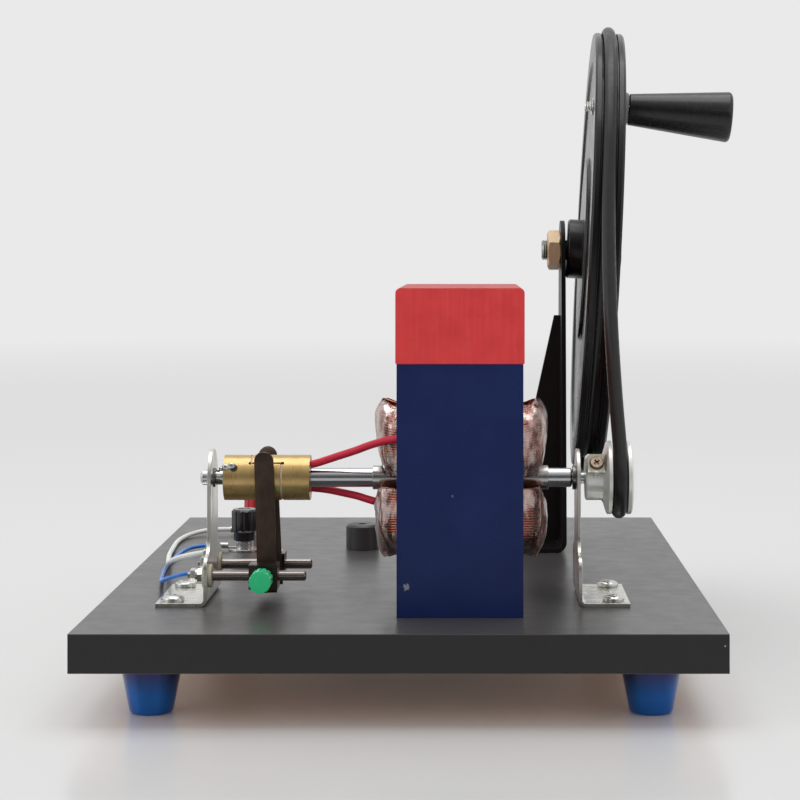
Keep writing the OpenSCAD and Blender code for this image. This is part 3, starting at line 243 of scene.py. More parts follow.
def makeFinishes():
    along = (0.06, 1, 1)  # marks run along X
    circling = (1, 0.06, 0.06)  # marks run round X
    laminate = newFinish("boardLaminate", (0.0125, 0.0112, 0.0116), 0.0, 0.33)
    roughen(laminate, 8, 0.29, 0.35)
    relief(laminate, 0.5, 0.2, 0.003)
    mottle(laminate, (0.017, 0.016, 0.0162), 1.2, 0.5)
    # painted reflection: the board's top face is painted lighter than its edges, for the backdrop it reflects
    tint(laminate, (0.066, 0.0635, 0.064), byHeight(laminate, boardTop - 0.4 * mm, boardTop - 0.2 * mm))
    tint(laminate, (0.95, 0.64, 0.46), byHeight(laminate, boardLow.z + 0.02 * mm, boardLow.z + 0.05 * mm, 1, 0))
    tint(laminate, (0.5, 0.5, 0.48), fleck(laminate, spot(123.3, -165, -4.5), 0.3))
    tint(laminate, (0.004, 0.004, 0.004), fleck(laminate, spot(-38.4, -114.5), 0.7))
    finishes["boardLaminate"] = laminate
    foot = newFinish("footBlue", (0.01, 0.15, 0.56), 0.8, 0.2, Coat_Weight=0.4)
    roughen(foot, 5, 0.14, 0.26)
    # painted shade: the feet are painted darker and more purple towards their tops, under the board
    tint(foot, (0.022, 0.014, 0.06), byHeight(foot, boardLow.z - 14 * mm, boardLow.z - 5 * mm, 0, 0.9))
    relief(foot, 2.5, 0.12, 0.02)
    finishes["footBlue"] = foot
    metal("brightZinc", (0.66, 0.66, 0.64), 0.26)
    dull = metal("dullZinc", (0.4, 0.42, 0.38), 0.34)
    mottle(dull, (0.12, 0.13, 0.11), 1.6, 0.6)
    metal("zincSheet", (0.74, 0.74, 0.71), 0.3, (1, 1, 0.12), 1.2, 0.1, 0.006)
    mottle(finishes["zincSheet"], (0.62, 0.6, 0.46), 6, 0.5)
    metal("groundSteel", (0.55, 0.56, 0.57), 0.17, circling, 0.25, 0.06, 0.003)
    metal("darkSteel", (0.11, 0.105, 0.1), 0.32, (1, 1, 1), 0.6, 0.1, 0.03)
    mottle(finishes["darkSteel"], (0.5, 0.48, 0.44), 1.1, 0.6)
    metal("bareIron", (0.2, 0.2, 0.21), 0.42, (1.2, 0.15, 0.15), 0.5, 0.12, 0.02)
    metal("sleevedSteel", (0.5, 0.5, 0.49), 0.22, circling, 0.4, 0.06, 0.004)
    card = plastic("creamCard", (0.68, 0.64, 0.52), 0.55, 0.35, 0.03)
    mottle(card, (0.5, 0.44, 0.3), 2.5, 0.4)
    copper = newFinish("enamelledCopper", (0.66, 0.24, 0.15), 0.9, 0.26, Coat_Weight=0.4)
    roughen(copper, 2.5, 0.16, 0.34)
    mottle(copper, (0.2, 0.05, 0.03), 5, 0.7)
    axisHeight = boardTop + 50 * mm
    # painted shade: the lower part of each coil's winding is painted dark brown in the rest pose, where it lies in
    # shade
    for low in (9, -21):
        paintedShade = byHeight(copper, axisHeight + (low - 3) * mm, axisHeight + (low + 3) * mm, 0.9, 0)
        if low > 0:
            above = nodesProduct(copper, paintedShade, byHeight(copper, axisHeight - 1 * mm, axisHeight))
            tint(copper, (0.03, 0.008, 0.006), above)
        else:
            tint(copper, (0.03, 0.008, 0.006), paintedShade)
    finishes["enamelledCopper"] = copper
    # painted shade: the inner turns are a much darker copper than the outer winding wire
    under = newFinish("innerCopper", (0.13, 0.035, 0.02), 0.7, 0.35)
    relief(under, 0.5, 0.8, 0.15, (0.1, 0.1, 2.6))
    mottle(under, (0.3, 0.09, 0.04), 4, 0.6)
    finishes["innerCopper"] = under
    sleeve = plastic("redSleeving", (0.66, 0.02, 0.055), 0.42, 0.6, 0.03, Subsurface_Weight=0.08, Specular_IOR_Level=0.35)
    sleeve.node_tree.nodes["Principled BSDF"].inputs["Subsurface Radius"].default_value = (0.002, 0.0005, 0.0004)
    plastic("paleFibre", (0.7, 0.52, 0.42), 0.5)
    brass = metal("turnedBrass", (0.6, 0.42, 0.175), 0.3, (4, 0.1, 0.1), 0.8, 0.05, 0.0015)
    brass.node_tree.nodes["Principled BSDF"].inputs["Metallic"].default_value = 0.72
    mottle(brass, (0.4, 0.25, 0.09), 6, 0.5)
    alloy = metal("castAlloy", (0.9, 0.91, 0.87), 0.36, circling, 0.5, 0.1, 0.01)
    alloy.node_tree.nodes["Principled BSDF"].inputs["Metallic"].default_value = 0.42
    mottle(alloy, (0.66, 0.67, 0.64), 4, 0.5)
    hub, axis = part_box("pulley")[0], centre("rotor_shaft")
    pad = Vector((hub.x + 4.35 * mm, axis.y - 8.1 * mm, axis.z + 6.8 * mm))
    tint(alloy, (0.26, 0.25, 0.19), fleck(alloy, pad, 5.4, 0.25))
    yellow = metal("yellowZinc", (0.62, 0.47, 0.27), 0.4)
    yellow.node_tree.nodes["Principled BSDF"].inputs["Metallic"].default_value = 0.25
    mottle(yellow, (0.68, 0.4, 0.29), 3, 0.7)
    dirty = metal("dirtyZinc", (0.2, 0.13, 0.09), 0.34)
    mottle(dirty, (0.42, 0.36, 0.3), 1.2, 0.7)
    metal("nickelRod", (0.33, 0.29, 0.275), 0.24, along, 0.4, 0.05, 0.003)
    solder = metal("solder", (0.62, 0.62, 0.6), 0.24, (1, 1, 1), 0.8, 0.12, 0.05)
    mottle(solder, (0.4, 0.39, 0.36), 1.5, 0.5)
    strip = newFinish("darkBronze", (0.045, 0.026, 0.018), 0.5, 0.34)
    roughen(strip, 3, 0.24, 0.45, (1, 1, 0.2))
    mottle(strip, (0.1, 0.062, 0.035), 5, 0.5)
    finishes["darkBronze"] = strip
    block = newFinish("blockBrown", (0.035, 0.026, 0.022), 0.5, 0.3)
    roughen(block, 2, 0.2, 0.42)
    relief(block, 0.4, 0.3, 0.01)
    finishes["blockBrown"] = block
    plastic("greenKnob", (0.014, 0.7, 0.27), 0.3, 1.0, 0.02, Coat_Weight=0.3)
    plastic("whiteKnob", (0.74, 0.73, 0.68), 0.3)
    plastic("blueLead", (0.04, 0.22, 0.72), 0.3, 1.0, 0.02)
    plastic("whiteLead", (0.84, 0.87, 0.83), 0.36, 1.0, 0.02)
    black = newFinish("blackEnamel", (0.0105, 0.01, 0.0105), 0.0, 0.36, Specular_IOR_Level=0.16)
    roughen(black, 6, 0.3, 0.42)
    relief(black, 1.4, 0.18, 0.02)
    finishes["blackEnamel"] = black
    metal("blackSteel", (0.06, 0.06, 0.062), 0.38)
    wheel = plastic("wheelBlack", (0.009, 0.0083, 0.0086), 0.24, 1.6, 0.008, Specular_IOR_Level=0.35)
    mottle(wheel, (0.013, 0.0125, 0.013), 30, 0.5)
    belt = plastic("beltRubber", (0.014, 0.013, 0.0132), 0.38, 0.5, 0.02, Specular_IOR_Level=0.35)
    mottle(belt, (0.022, 0.021, 0.0205), 4, 0.5)
    plastic("gripBlack", (0.01, 0.0093, 0.0096), 0.26, 0.5, 0.004, Specular_IOR_Level=0.5)
    plastic("collarGrey", (0.16, 0.158, 0.158), 0.3)
    plastic("capBlack", (0.009, 0.009, 0.0095), 0.22, 1.2, 0.02, Coat_Weight=0.3)
    plastic("capRed", (0.6, 0.012, 0.02), 0.22, 1.2, 0.02, Coat_Weight=0.3)
    plastic("socketGrey", (0.045, 0.046, 0.048), 0.42)

    blue = newFinish("blueEnamel", (0.0085, 0.0185, 0.094), 0.0, 0.3, Specular_IOR_Level=0.2)
    roughen(blue, 14, 0.25, 0.38)
    relief(blue, 2.2, 0.08, 0.015)
    mottle(blue, (0.0125, 0.029, 0.125), 18, 0.6)
    tint(blue, (0.24, 0.26, 0.3), fleck(blue, spot(1.9, -132.0, 12.2), 1.3, 0.6))
    tint(blue, (0.1, 0.12, 0.2), fleck(blue, spot(20.0, -132.0, 48.0), 0.5, 0.6))
    finishes["blueEnamel"] = blue
    red = newFinish("redEnamel", (0.78, 0.06, 0.062), 0.0, 0.38, Specular_IOR_Level=0.14)
    roughen(red, 3, 0.33, 0.46, (1, 1, 0.08))
    relief(red, 1.2, 0.25, 0.03, (1, 1, 0.05))
    mottle(red, (0.86, 0.1, 0.1), 1.6, 0.5, (1, 1, 0.05))
    mottle(red, (0.6, 0.04, 0.045), 9, 0.5)
    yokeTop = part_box("magnet_yoke")[1].z
    # painted shade: the yoke's top face is painted a darker red than its sides
    tint(red, (0.5, 0.036, 0.038), byHeight(red, yokeTop - 0.4 * mm, yokeTop - 0.1 * mm))
    finishes["redEnamel"] = red

    tape = newFinish("clearTape", (0.93, 0.8, 0.76), 0.25, 0.12, Transmission_Weight=1.0, IOR=1.3)
    patches = ranged(tape, noiseOn(tape, 6, 3, (1, 1, 0.5)), 0.0, 0.4, 0.42, 0.62)
    tape.node_tree.links.new(patches, tape.node_tree.nodes["Principled BSDF"].inputs["Metallic"])
    relief(tape, 4.0, 0.9, 0.9, (1, 1, 0.3), 3)
    relief(tape, 0.9, 0.5, 0.2, (1, 1, 0.2))
    finishes["clearTape"] = tape


makeFinishes()
print("finishes made:", len(finishes))


def place(name, made, finish, body, slotName, replaced=(), sharp=38):
    if isinstance(made, bmesh.types.BMesh):
        mesh = bpy.data.meshes.new(name)
        made.to_mesh(mesh)
        made.free()
    else:
        mesh = made
    mesh.materials.clear()
    mesh.materials.append(finishes[finish])
    mesh.shade_smooth()
    mesh.set_sharp_from_angle(angle=radians(sharp))
    piece = bpy.data.objects.new(name, mesh)
    scene.collection.objects.link(piece)
    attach(piece, body)
    if replaced:
        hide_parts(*replaced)
    return piece


def bodyOf(node):
    return frame["nodes"][node]["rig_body"]


slots = {part["node"]: part["material_slot"] for part in frame["record"]["subparts"]}


def merged(node):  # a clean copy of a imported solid
    solid = bmesh.new()
    solid.from_mesh(frame["nodes"][node].data)
    bmesh.ops.remove_doubles(solid, verts=solid.verts, dist=2e-6)
    bmesh.ops.dissolve_limit(solid, angle_limit=radians(0.6), verts=solid.verts, edges=solid.edges)
    return solid


def eased(node, finish, width=0.3, segments=2, angle=34, name=None):
    piece = place(name or node + "_finished", merged(node), finish, bodyOf(node), slots[node], [node], angle)
    soften = piece.modifiers.new("edges", "BEVEL")
    soften.width = width * mm
    soften.segments = segments
    soften.limit_method = "ANGLE"
    soften.angle_limit = radians(angle)
    soften.use_clamp_overlap = True
    soften.harden_normals = True
    return piece


def turned(profile, steps=72):  # profile of (along, radius) in mm, turned round X
    shape = bmesh.new()
    points = [shape.verts.new(Vector((along, 0, radius)) * mm) for along, radius in profile]
    for a, b in zip(points, points[1:]):
        shape.edges.new((a, b))
    bmesh.ops.spin(shape, geom=shape.verts[:] + shape.edges[:], cent=(0, 0, 0), axis=(1, 0, 0),
                   angle=2 * pi, steps=steps, use_merge=True, use_duplicate=False)
    bmesh.ops.remove_doubles(shape, verts=shape.verts, dist=1e-6)
    bmesh.ops.recalc_face_normals(shape, faces=shape.faces)
    return shape


def moved(shape, where, turn=None):
    matrix = Matrix.Translation(where) @ (turn or Matrix.Identity(4))
    bmesh.ops.transform(shape, matrix=matrix, verts=shape.verts)
    return shape


def joined(shapes):
    whole = bmesh.new()
    for shape in shapes:
        loose = bpy.data.meshes.new("loose")
        shape.to_mesh(loose)
        shape.free()
        whole.from_mesh(loose)
        bpy.data.meshes.remove(loose)
    return whole


upright = Matrix.Rotation(-pi / 2, 4, "Y")  # turns a shape made along X up along Z
towardsFront = Matrix.Rotation(-pi / 2, 4, "Z")  # turns it to run along -Y
towardsBack = Matrix.Rotation(pi / 2, 4, "Z")


def threadProfile(start, end, radius, pitch=0.5, depth=0.22, nose=0.6):
    points = [(start, 0), (start, radius - nose * 0.7), (start + nose, radius)]
    along = start + nose
    while along + pitch < end:
        points += [(along + pitch * 0.5, radius - depth), (along + pitch, radius)]
        along += pitch
    return points + [(end, radius), (end, 0)]


def cutAway(target, tool):
    def solid(shape, name):
        mesh = bpy.data.meshes.new(name)
        shape.to_mesh(mesh)
        shape.free()
        made = bpy.data.objects.new(name, mesh)
        scene.collection.objects.link(made)
        return made
    a, b = solid(target, "cutTarget"), solid(tool, "cutTool")
    step = a.modifiers.new("cut", "BOOLEAN")
    step.object = b
    step.solver = "EXACT"
    bpy.context.view_layer.update()
    result = bpy.data.meshes.new_from_object(a.evaluated_get(bpy.context.evaluated_depsgraph_get()))
    shape = bmesh.new()
    shape.from_mesh(result)
    for made in (a, b):
        mesh = made.data
        bpy.data.objects.remove(made)
        bpy.data.meshes.remove(mesh)
    bpy.data.meshes.remove(result)
    return shape


def crossCutter(radius, width, depth):  # a cross recess, pointed down, from height 0
    arms = []
    for turn in (0, pi / 2):
        arm = bmesh.new()
        bmesh.ops.create_cube(arm, size=1)
        bmesh.ops.scale(arm, vec=Vector((radius * 2, width, depth * 2)) * mm, verts=arm.verts)
        low = [v for v in arm.verts if v.co.z < 0]
        bmesh.ops.scale(arm, vec=(0.45, 0.8, 1), verts=low)
        bmesh.ops.rotate(arm, cent=(0, 0, 0), matrix=Matrix.Rotation(turn, 3, "Z"), verts=arm.verts)
        arms.append(arm)
    return arms


def panHead(headRadius, height, turn=0.3):  # pan head with its recess, seated at zero, along +Z
    rim = height * 0.38
    profile = [(-0.2, 0), (-0.2, headRadius * 0.4), (0, headRadius * 0.4), (0, headRadius * 0.94),
               (rim * 0.3, headRadius)]
    for i in range(9):
        a = pi / 2 * i / 8
        profile.append((rim + (height - rim) * sin(a), headRadius * (0.3 + 0.7 * cos(a)) if i else headRadius))
    profile.append((height, 0))
    head = moved(turned(profile, 40), Vector((0, 0, 0)), upright)
    for arm in crossCutter(headRadius * 0.52, headRadius * 0.2, height * 0.62):
        moved(arm, Vector((0, 0, height * mm)), Matrix.Rotation(turn, 4, "Z"))
        head = cutAway(head, arm)
    return head


def hexNut(across, thick, bore, thread=0.25):  # along X from 0 to thick, chamfered both ends
    far = across / 2 / cos(radians(30))
    nut = bmesh.new()
    bmesh.ops.create_circle(nut, cap_ends=True, cap_tris=False, segments=6, radius=far * mm)
    push = bmesh.ops.extrude_face_region(nut, geom=nut.faces[:])
    bmesh.ops.translate(nut, vec=(0, 0, thick * mm), verts=[v for v in push["geom"] if isinstance(v, bmesh.types.BMVert)])
    bmesh.ops.recalc_face_normals(nut, faces=nut.faces)
    bmesh.ops.rotate(nut, cent=(0, 0, 0), matrix=Matrix.Rotation(pi / 2, 3, "Y"), verts=nut.verts)
    flat = across / 2
    ends = [(-1, 0), (-1, bore + 0.7), (0, bore + 0.35), (thick * 0.1, bore)]
    along = thick * 0.1
    while along + 0.8 < thick * 0.9:
        ends += [(along + 0.4, bore + thread), (along + 0.8, bore)]
        along += 0.8
    ends += [(thick * 0.9, bore), (thick, bore + 0.35), (thick + 1, bore + 0.7), (thick + 1, 0)]
    outer = turned([(0, 0), (0, flat * 0.97), (thick * 0.14, far + 0.02), (thick * 0.86, far + 0.02),
                    (thick, flat * 0.97), (thick, 0)], 48)
    kept = intersected(nut, outer)
    return cutAway(kept, turned(ends, 40))


def intersected(a, b):
    def solid(shape, name):
        mesh = bpy.data.meshes.new(name)
        shape.to_mesh(mesh)
        shape.free()
        made = bpy.data.objects.new(name, mesh)
        scene.collection.objects.link(made)
        return made
    first, second = solid(a, "meetA"), solid(b, "meetB")
    step = first.modifiers.new("meet", "BOOLEAN")
    step.operation = "INTERSECT"
    step.object = second
    step.solver = "EXACT"
    bpy.context.view_layer.update()
    result = bpy.data.meshes.new_from_object(first.evaluated_get(bpy.context.evaluated_depsgraph_get()))
    shape = bmesh.new()
    shape.from_mesh(result)
    for made in (first, second):
        mesh = made.data
        bpy.data.objects.remove(made)
        bpy.data.meshes.remove(mesh)
    bpy.data.meshes.remove(result)
    return shape


def smoothPath(points, steps):
    points = [Vector(p) for p in points]
    out = []
    for i in range(len(points) - 1):
        a, b = points[max(i - 1, 0)], points[i]
        c, d = points[i + 1], points[min(i + 2, len(points) - 1)]
        for k in range(steps):
            u = k / steps
            out.append(0.5 * (2 * b + (c - a) * u + (2 * a - 5 * b + 4 * c - d) * u * u
                              + (3 * b - a - 3 * c + d) * u ** 3))
    return out + [points[-1]]


def wire(name, points, radius, finish, body, replaced=(), closed=False, sides=3):
    data = bpy.data.curves.new(name, "CURVE")
    data.dimensions = "3D"
    data.bevel_depth = radius * mm
    data.bevel_resolution = sides
    data.use_fill_caps = True
    spline = data.splines.new("POLY")
    spline.points.add(len(points) - 1)
    spline.use_cyclic_u = closed
    for target, point in zip(spline.points, points):
        target.co = (*point, 1)
    data.materials.append(finishes[finish])
    piece = bpy.data.objects.new(name, data)
    scene.collection.objects.link(piece)
    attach(piece, body)
    if replaced:
        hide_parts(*replaced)
    return piece


def pathLength(points):
    return sum((b - a).length for a, b in zip(points, points[1:]))


def lumps(name, blobs, finish, body, slotName, seed=0.0):  # solder and the like: (place, radii in mm)
    shapes = []
    for where, radii in blobs:
        blob = bmesh.new()
        bmesh.ops.create_icosphere(blob, subdivisions=3, radius=1)
        for v in blob.verts:
            v.co *= 1 + 0.22 * noise.noise(v.co * 1.3 + Vector((seed, 0, 0)) + where * 400)
        bmesh.ops.scale(blob, vec=Vector(radii) * mm, verts=blob.verts)
        shapes.append(moved(blob, where))
    return place(name, joined(shapes), finish, body, slotName)


leads = {
    "blue": {"d": 1.8, "points": [
        (-85.5, -92, 11.5), (-88, -92, 11.4), (-92, -92.6, 10.8), (-97, -90.4, 9.2), (-100.6, -85.4, 7.4),
        (-102.6, -78, 5.6), (-104.8, -66, 3.8), (-106.8, -53, 2.4), (-108.4, -40, 1.5), (-110, -26, 1.05),
        (-111, -12, 1), (-111.4, 2, 1), (-111.2, 15, 1), (-110.8, 27, 1), (-109.8, 37, 1.2),
        (-106.9, 43.8, 1.7), (-102.4, 46, 2.2), (-98, 46, 2.4), (-94.6, 46, 2.4), (-91.5, 46, 2.4)]},
    "white": {"d": 2.3, "points": [
        (-85.5, -68.5, 16), (-88, -68.5, 15.9), (-93, -67, 14.8), (-98.5, -62, 12.8), (-102.6, -54, 10.2),
        (-105.4, -42, 7.4), (-107.8, -26, 5.5), (-110.4, -8, 4.4), (-112.8, 10, 3.3), (-114.8, 28, 2),
        (-116.3, 46, 1.3), (-117.2, 62, 1.25), (-116.8, 76, 1.25), (-114.8, 88, 1.4), (-110.8, 96, 1.8),
        (-105.5, 99.4, 2.3), (-101, 100, 2.6), (-97.6, 100, 2.65), (-94.6, 100, 2.65), (-91.5, 100, 2.65)]},
    "upperRed": {"d": 3.2, "points": [
        (-39.5, -87.5, 55.7), (-36, -87.6, 56.6), (-31.5, -88.2, 58.1), (-27.8, -89, 59.4), (-23.5, -90.8, 60.9),
        (-19.6, -93, 62.4), (-15.5, -96, 64.2), (-11.4, -99.6, 65.8), (-7.2, -103.6, 67.3), (-3.3, -106.6, 68.2),
        (-1.6, -107.2, 68.4)]},
    "lowerRed": {"d": 3.2, "points": [
        (-39.5, -78.8, 45), (-36, -78.9, 44.7), (-32, -79.3, 44.2), (-28, -80.2, 43.5), (-24, -81.5, 42.8),
        (-20, -83.1, 42.1), (-16, -85.1, 41.1), (-12.6, -86.4, 40.3)]},
}


def addLeads():
    routes = {key: smoothPath([spot(*p) for p in lead["points"]], 4) for key, lead in leads.items()}
    for key, node, finish in (("blue", "blue_lead", "blueLead"), ("white", "white_lead", "whiteLead")):
        cord = wire(node + "_wire", routes[key], leads[key]["d"] / 2, finish, "frame", [node], sides=5)
    for key, node in (("upperRed", "upper_red_lead"), ("lowerRed", "lower_red_lead")):
        wire(node + "_sleeve", routes[key], leads[key]["d"] / 2, "redSleeving", "rotor", [node], sides=6)
    print("leads laid:", {key: round(pathLength(route) / mm) for key, route in routes.items()})


addLeads()


def addBase():
    board = eased("base_board", "boardLaminate", 0.5, 2)
    board.data.shade_flat()
    board.modifiers["edges"].harden_normals = False
    eased("feet", "footBlue", 0.4, 2, 30)
    eased("magnet_front_leg", "blueEnamel", 0.35, 2)
    eased("magnet_rear_leg", "redEnamel", 0.35, 2)
    eased("magnet_yoke", "redEnamel", 0.5, 2)
    eased("left_bearing_bracket", "zincSheet", 0.18, 2)
    eased("right_bearing_bracket", "zincSheet", 0.18, 2)
    eased("wheel_support", "blackEnamel", 0.25, 2)
    eased("lamp_socket", "socketGrey", 0.2, 2)
    for node in ("left_bearing_bush", "right_bearing_bush"):
        eased(node, "darkSteel", 0.15, 2)
    for node in ("front_brush_rod", "rear_brush_rod"):
        eased(node, "nickelRod", 0.1, 2)
    eased("rod_bushes", "creamCard", 0.15, 2)
    eased("lead_tags", "brightZinc", 0.08, 1)
    eased("terminal_studs", "brightZinc", 0.2, 2)
    eased("terminal_washers", "brightZinc", 0.2, 2)
    print("board and fixed metal finished")


addBase()

screws = {"boardHead": 4.5, "boardHeight": 2.6, "footHead": 4.0}


def addScrews():
    heads = []
    for node, finish, count in (("bracket_screws", "brightZinc", 4), ("support_screws", "blackSteel", 2)):
        low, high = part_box(node)
        top = high.z - screws["boardHeight"] * mm
        xs = [low.x + screws["boardHead"] * mm] + ([high.x - screws["boardHead"] * mm] if count == 4 else [])
        heads = []
        for i, x in enumerate(xs):
            for j, y in enumerate((low.y + screws["boardHead"] * mm, high.y - screws["boardHead"] * mm)):
                head = panHead(screws["boardHead"], screws["boardHeight"], 0.35 + 0.9 * i + 0.6 * j)
                heads.append(moved(head, Vector((x, y, top))))
        place(node + "_heads", joined(heads), finish, "frame", slots[node], [node], 30)
    for node in ("foot_screws", "magnet_screws"):
        low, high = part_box(node)
        r = screws["footHead"] * mm
        heads = []
        for x in (low.x + r, high.x - r):
            for y in (low.y + r, high.y - r):
                head = panHead(screws["footHead"], screws["boardHeight"], 0.5)
                where = Vector((x, y, low.z + screws["boardHeight"] * mm))
                heads.append(moved(head, where, Matrix.Rotation(pi, 4, "X")))
        place(node + "_heads", joined(heads), "brightZinc", "frame", slots[node], [node], 30)
    print("screws finished")


addScrews()


coil = {"turns": 29, "steps": 60, "square": 3.2, "start": 6.3, "pitch": 0.84, "wire": 0.8,
        "dip": 3.6, "crown": 2.2, "halfLength": 33.8,
        "upperTaper": (3.0, 0.45, 2.6, 0.75), "lowerTaper": (1.5, 0.2, 3.8, 0.4), "halfWidth": 23.3, "sweep": 32.7, "coreHalf": 25.0, "insulation": 5.05}


def addRotor():
    eased("rotor_shaft", "groundSteel", 0.12, 2)
    eased("shaft_nut", "brightZinc", 0.3, 2)
    eased("armature_core", "bareIron", 0.3, 2)
    eased("shaft_insulation", "sleevedSteel", 0.2, 2)
    for node in ("upper_coil_inner_turns", "lower_coil_inner_turns"):
        inner = eased(node, "innerCopper", 0.2, 1)
        across = Matrix.Translation((centre("armature_core").x, 0, 0))
        inner.data.transform(across @ Matrix.Scale(coil["halfLength"] / 34.5, 4, (1, 0, 0)) @ across.inverted())
    eased("commutator_core", "paleFibre", 0.15, 1)
    eased("commutator_left_sleeve", "turnedBrass", 0.18, 2)
    eased("commutator_right_sleeve", "turnedBrass", 0.18, 2)
    eased("commutator_screw", "blackSteel", 0.15, 1)
    eased("pulley", "castAlloy", 0.35, 3)
    print("rotor metal finished")


addRotor()

ringGap = {"in": 11.2, "wide": 0.8, "inner": 6.1, "outer": 9.0, "slitAngle": 45}


def addGapFilling():
    axis = centre("rotor_shaft")
    left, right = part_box("commutator_left_sleeve")[0].x / mm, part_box("commutator_right_sleeve")[1].x / mm
    wide = ringGap["wide"] - 0.08
    tilt = Matrix.Rotation(radians(-ringGap["slitAngle"]), 4, "X")
    pieces = []
    for start, side in ((left + ringGap["in"] + 0.04, -1), (right - ringGap["in"] - ringGap["wide"] + 0.04, 1)):
        ring = turned([(0, ringGap["inner"]), (0, ringGap["outer"]), (wide, ringGap["outer"]), (wide, ringGap["inner"]),
                       (0, ringGap["inner"])], 64)
        away = bmesh.new()
        bmesh.ops.create_cube(away, size=30 * mm)
        bmesh.ops.translate(away, vec=Vector((0, 0, side * (15 - 0.4))) * mm, verts=away.verts)
        bmesh.ops.transform(away, matrix=tilt, verts=away.verts)
        pieces.append(moved(cutAway(ring, away), Vector((start * mm, axis.y, axis.z))))
    place("commutator_filling", joined(pieces), "paleFibre", "rotor", slots["commutator_core"])


addGapFilling()


def smooth(u):
    u = min(max(u, 0), 1)
    return u * u * (3 - 2 * u)


def coilOutline(angle, height, taper, grow=0.0):
    width = min(coil["halfWidth"], sqrt(max(coil["sweep"] ** 2 - height ** 2, 1)))
    power = 2 / coil["square"]
    c, s = cos(angle), sin(angle)
    share = (height - coil["start"]) / (coil["pitch"] * coil["turns"])
    nearBy, nearTo, farBy, farFrom = taper
    length = (coil["halfLength"] + grow - nearBy * max(1 - share / nearTo, 0) ** 2
              - farBy * max((share - farFrom) / (1 - farFrom), 0) ** 2)
    x = length * abs(c) ** power * (1 if c > 0 else -1)
    y = (width + grow) * abs(s) ** power * (1 if s > 0 else -1)
    sag = coil["dip"] * smooth((abs(y) - 6.5) / 6) * max(1 - share * 1.3, 0)  # the turns sag beside the shaft
    return Vector((x, y, height - sag + coil["crown"] * smooth((abs(x) - 26) / 6) * share ** 2))


def addCoils():
    magnetX = centre("armature_core").x
    axis = centre("rotor_shaft")
    turns, steps = coil["turns"], coil["steps"]
    top = coil["start"] + coil["pitch"] * turns
    for node, turn, taper in (("upper_coil_winding", 0, coil["upperTaper"]),
                              ("lower_coil_winding", pi, coil["lowerTaper"])):
        path = [Vector((2 - coil["halfLength"], 0, coil["insulation"]))]
        for i in range(turns * steps + 1):
            path.append(coilOutline(pi + 2 * pi * i / steps, coil["start"] + coil["pitch"] * i / steps, taper))
        path += [Vector((-coil["coreHalf"] - coil["wire"], 0, top)), Vector((-coil["coreHalf"] - 0.05, 0, top))]
        spin = Matrix.Rotation(turn, 3, "X")
        points = [Vector((magnetX, axis.y, axis.z)) + (spin @ p) * mm for p in path]
        wire(node + "_turns", points, coil["wire"] / 2, "enamelledCopper", "rotor", [node], sides=2)
    print("coils wound")


addCoils()

tapeWrap = {"low": 5.9, "high": 30.6, "rows": 30, "around": 150, "stand": 1.3, "thick": 0.1}


def addTape():
    magnetX = centre("armature_core").x
    axis = centre("rotor_shaft")
    for name, turn, seed, taper in (("upper_tape", 0, 3.0, coil["upperTaper"]), ("lower_tape", pi, 11.0, coil["lowerTaper"])):
        film = bmesh.new()
        rings = []
        for row in range(tapeWrap["rows"] + 1):
            height = tapeWrap["low"] + (tapeWrap["high"] - tapeWrap["low"]) * row / tapeWrap["rows"]
            ring = []
            for k in range(tapeWrap["around"]):
                a = 2 * pi * k / tapeWrap["around"]
                p = coilOutline(a, height, taper, coil["wire"] / 2 + 0.25)
                fold = noise.noise(Vector((p.x * 0.13, p.y * 0.13, height * 0.06 + seed)))
                crease = noise.noise(Vector((p.x * 0.5 + seed, p.y * 0.5, height * 0.22)))
                ending = abs(cos(a)) ** 2
                out = max(0.0, tapeWrap["stand"] * (0.55 + 0.9 * fold) * (0.25 + ending) + 0.45 * crease * ending)
                step = Vector((p.x, p.y, 0)).normalized() * out
                if abs(p.x) < 27 and hypot(p.y + step.y, p.z) > 34.3:
                    step *= max(34.3 - hypot(p.y, p.z), 0) / max(out, 0.01)
                ring.append(film.verts.new((p + step) * mm))
            rings.append(ring)
        for low, high in zip(rings, rings[1:]):
            for k in range(len(low)):
                n = (k + 1) % len(low)
                film.faces.new((low[k], low[n], high[n], high[k]))
        bmesh.ops.transform(film, matrix=Matrix.Rotation(turn, 4, "X"), verts=film.verts)
        bmesh.ops.translate(film, vec=(magnetX, axis.y, axis.z), verts=film.verts)
        piece = place(name, film, "clearTape", "rotor", "insulation_card", sharp=70)
        wall = piece.modifiers.new("film", "SOLIDIFY")
        wall.thickness = tapeWrap["thick"] * mm
        wall.offset = 1
    print("tape wrapped")


addTape()

setScrew = {"radius": 3.0, "height": 0.8, "angle": 50, "shank": 2.0}


def addPulleyScrew():
    low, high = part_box("pulley")
    axis = centre("rotor_shaft")
    padTop = 9.4 + 1.2
    x = low.x + 8.7 / 2 * mm
    profile = [(-1.5, 0), (-1.5, setScrew["shank"]), (0, setScrew["shank"]), (0, setScrew["radius"] - 0.25),
               (0.25, setScrew["radius"]), (setScrew["height"] - 0.4, setScrew["radius"]),
               (setScrew["height"], setScrew["radius"] - 0.5), (setScrew["height"], 0)]
    head = moved(turned(profile, 44), Vector((0, 0, 0)), upright)
    for arm in crossCutter(2.0, 0.8, 0.9):
        moved(arm, Vector((0, 0, setScrew["height"] * mm)), Matrix.Rotation(0.6, 4, "Z"))
        head = cutAway(head, arm)
    bmesh.ops.translate(head, vec=(0, 0, padTop * mm), verts=head.verts)
    bmesh.ops.transform(head, matrix=Matrix.Rotation(radians(setScrew["angle"]), 4, "X"), verts=head.verts)
    place("pulley_set_screw_head", moved(head, Vector((x, axis.y, axis.z))), "dirtyZinc", "rotor",
          slots["pulley_set_screw"], ["pulley_set_screw"], 30)


addPulleyScrew()


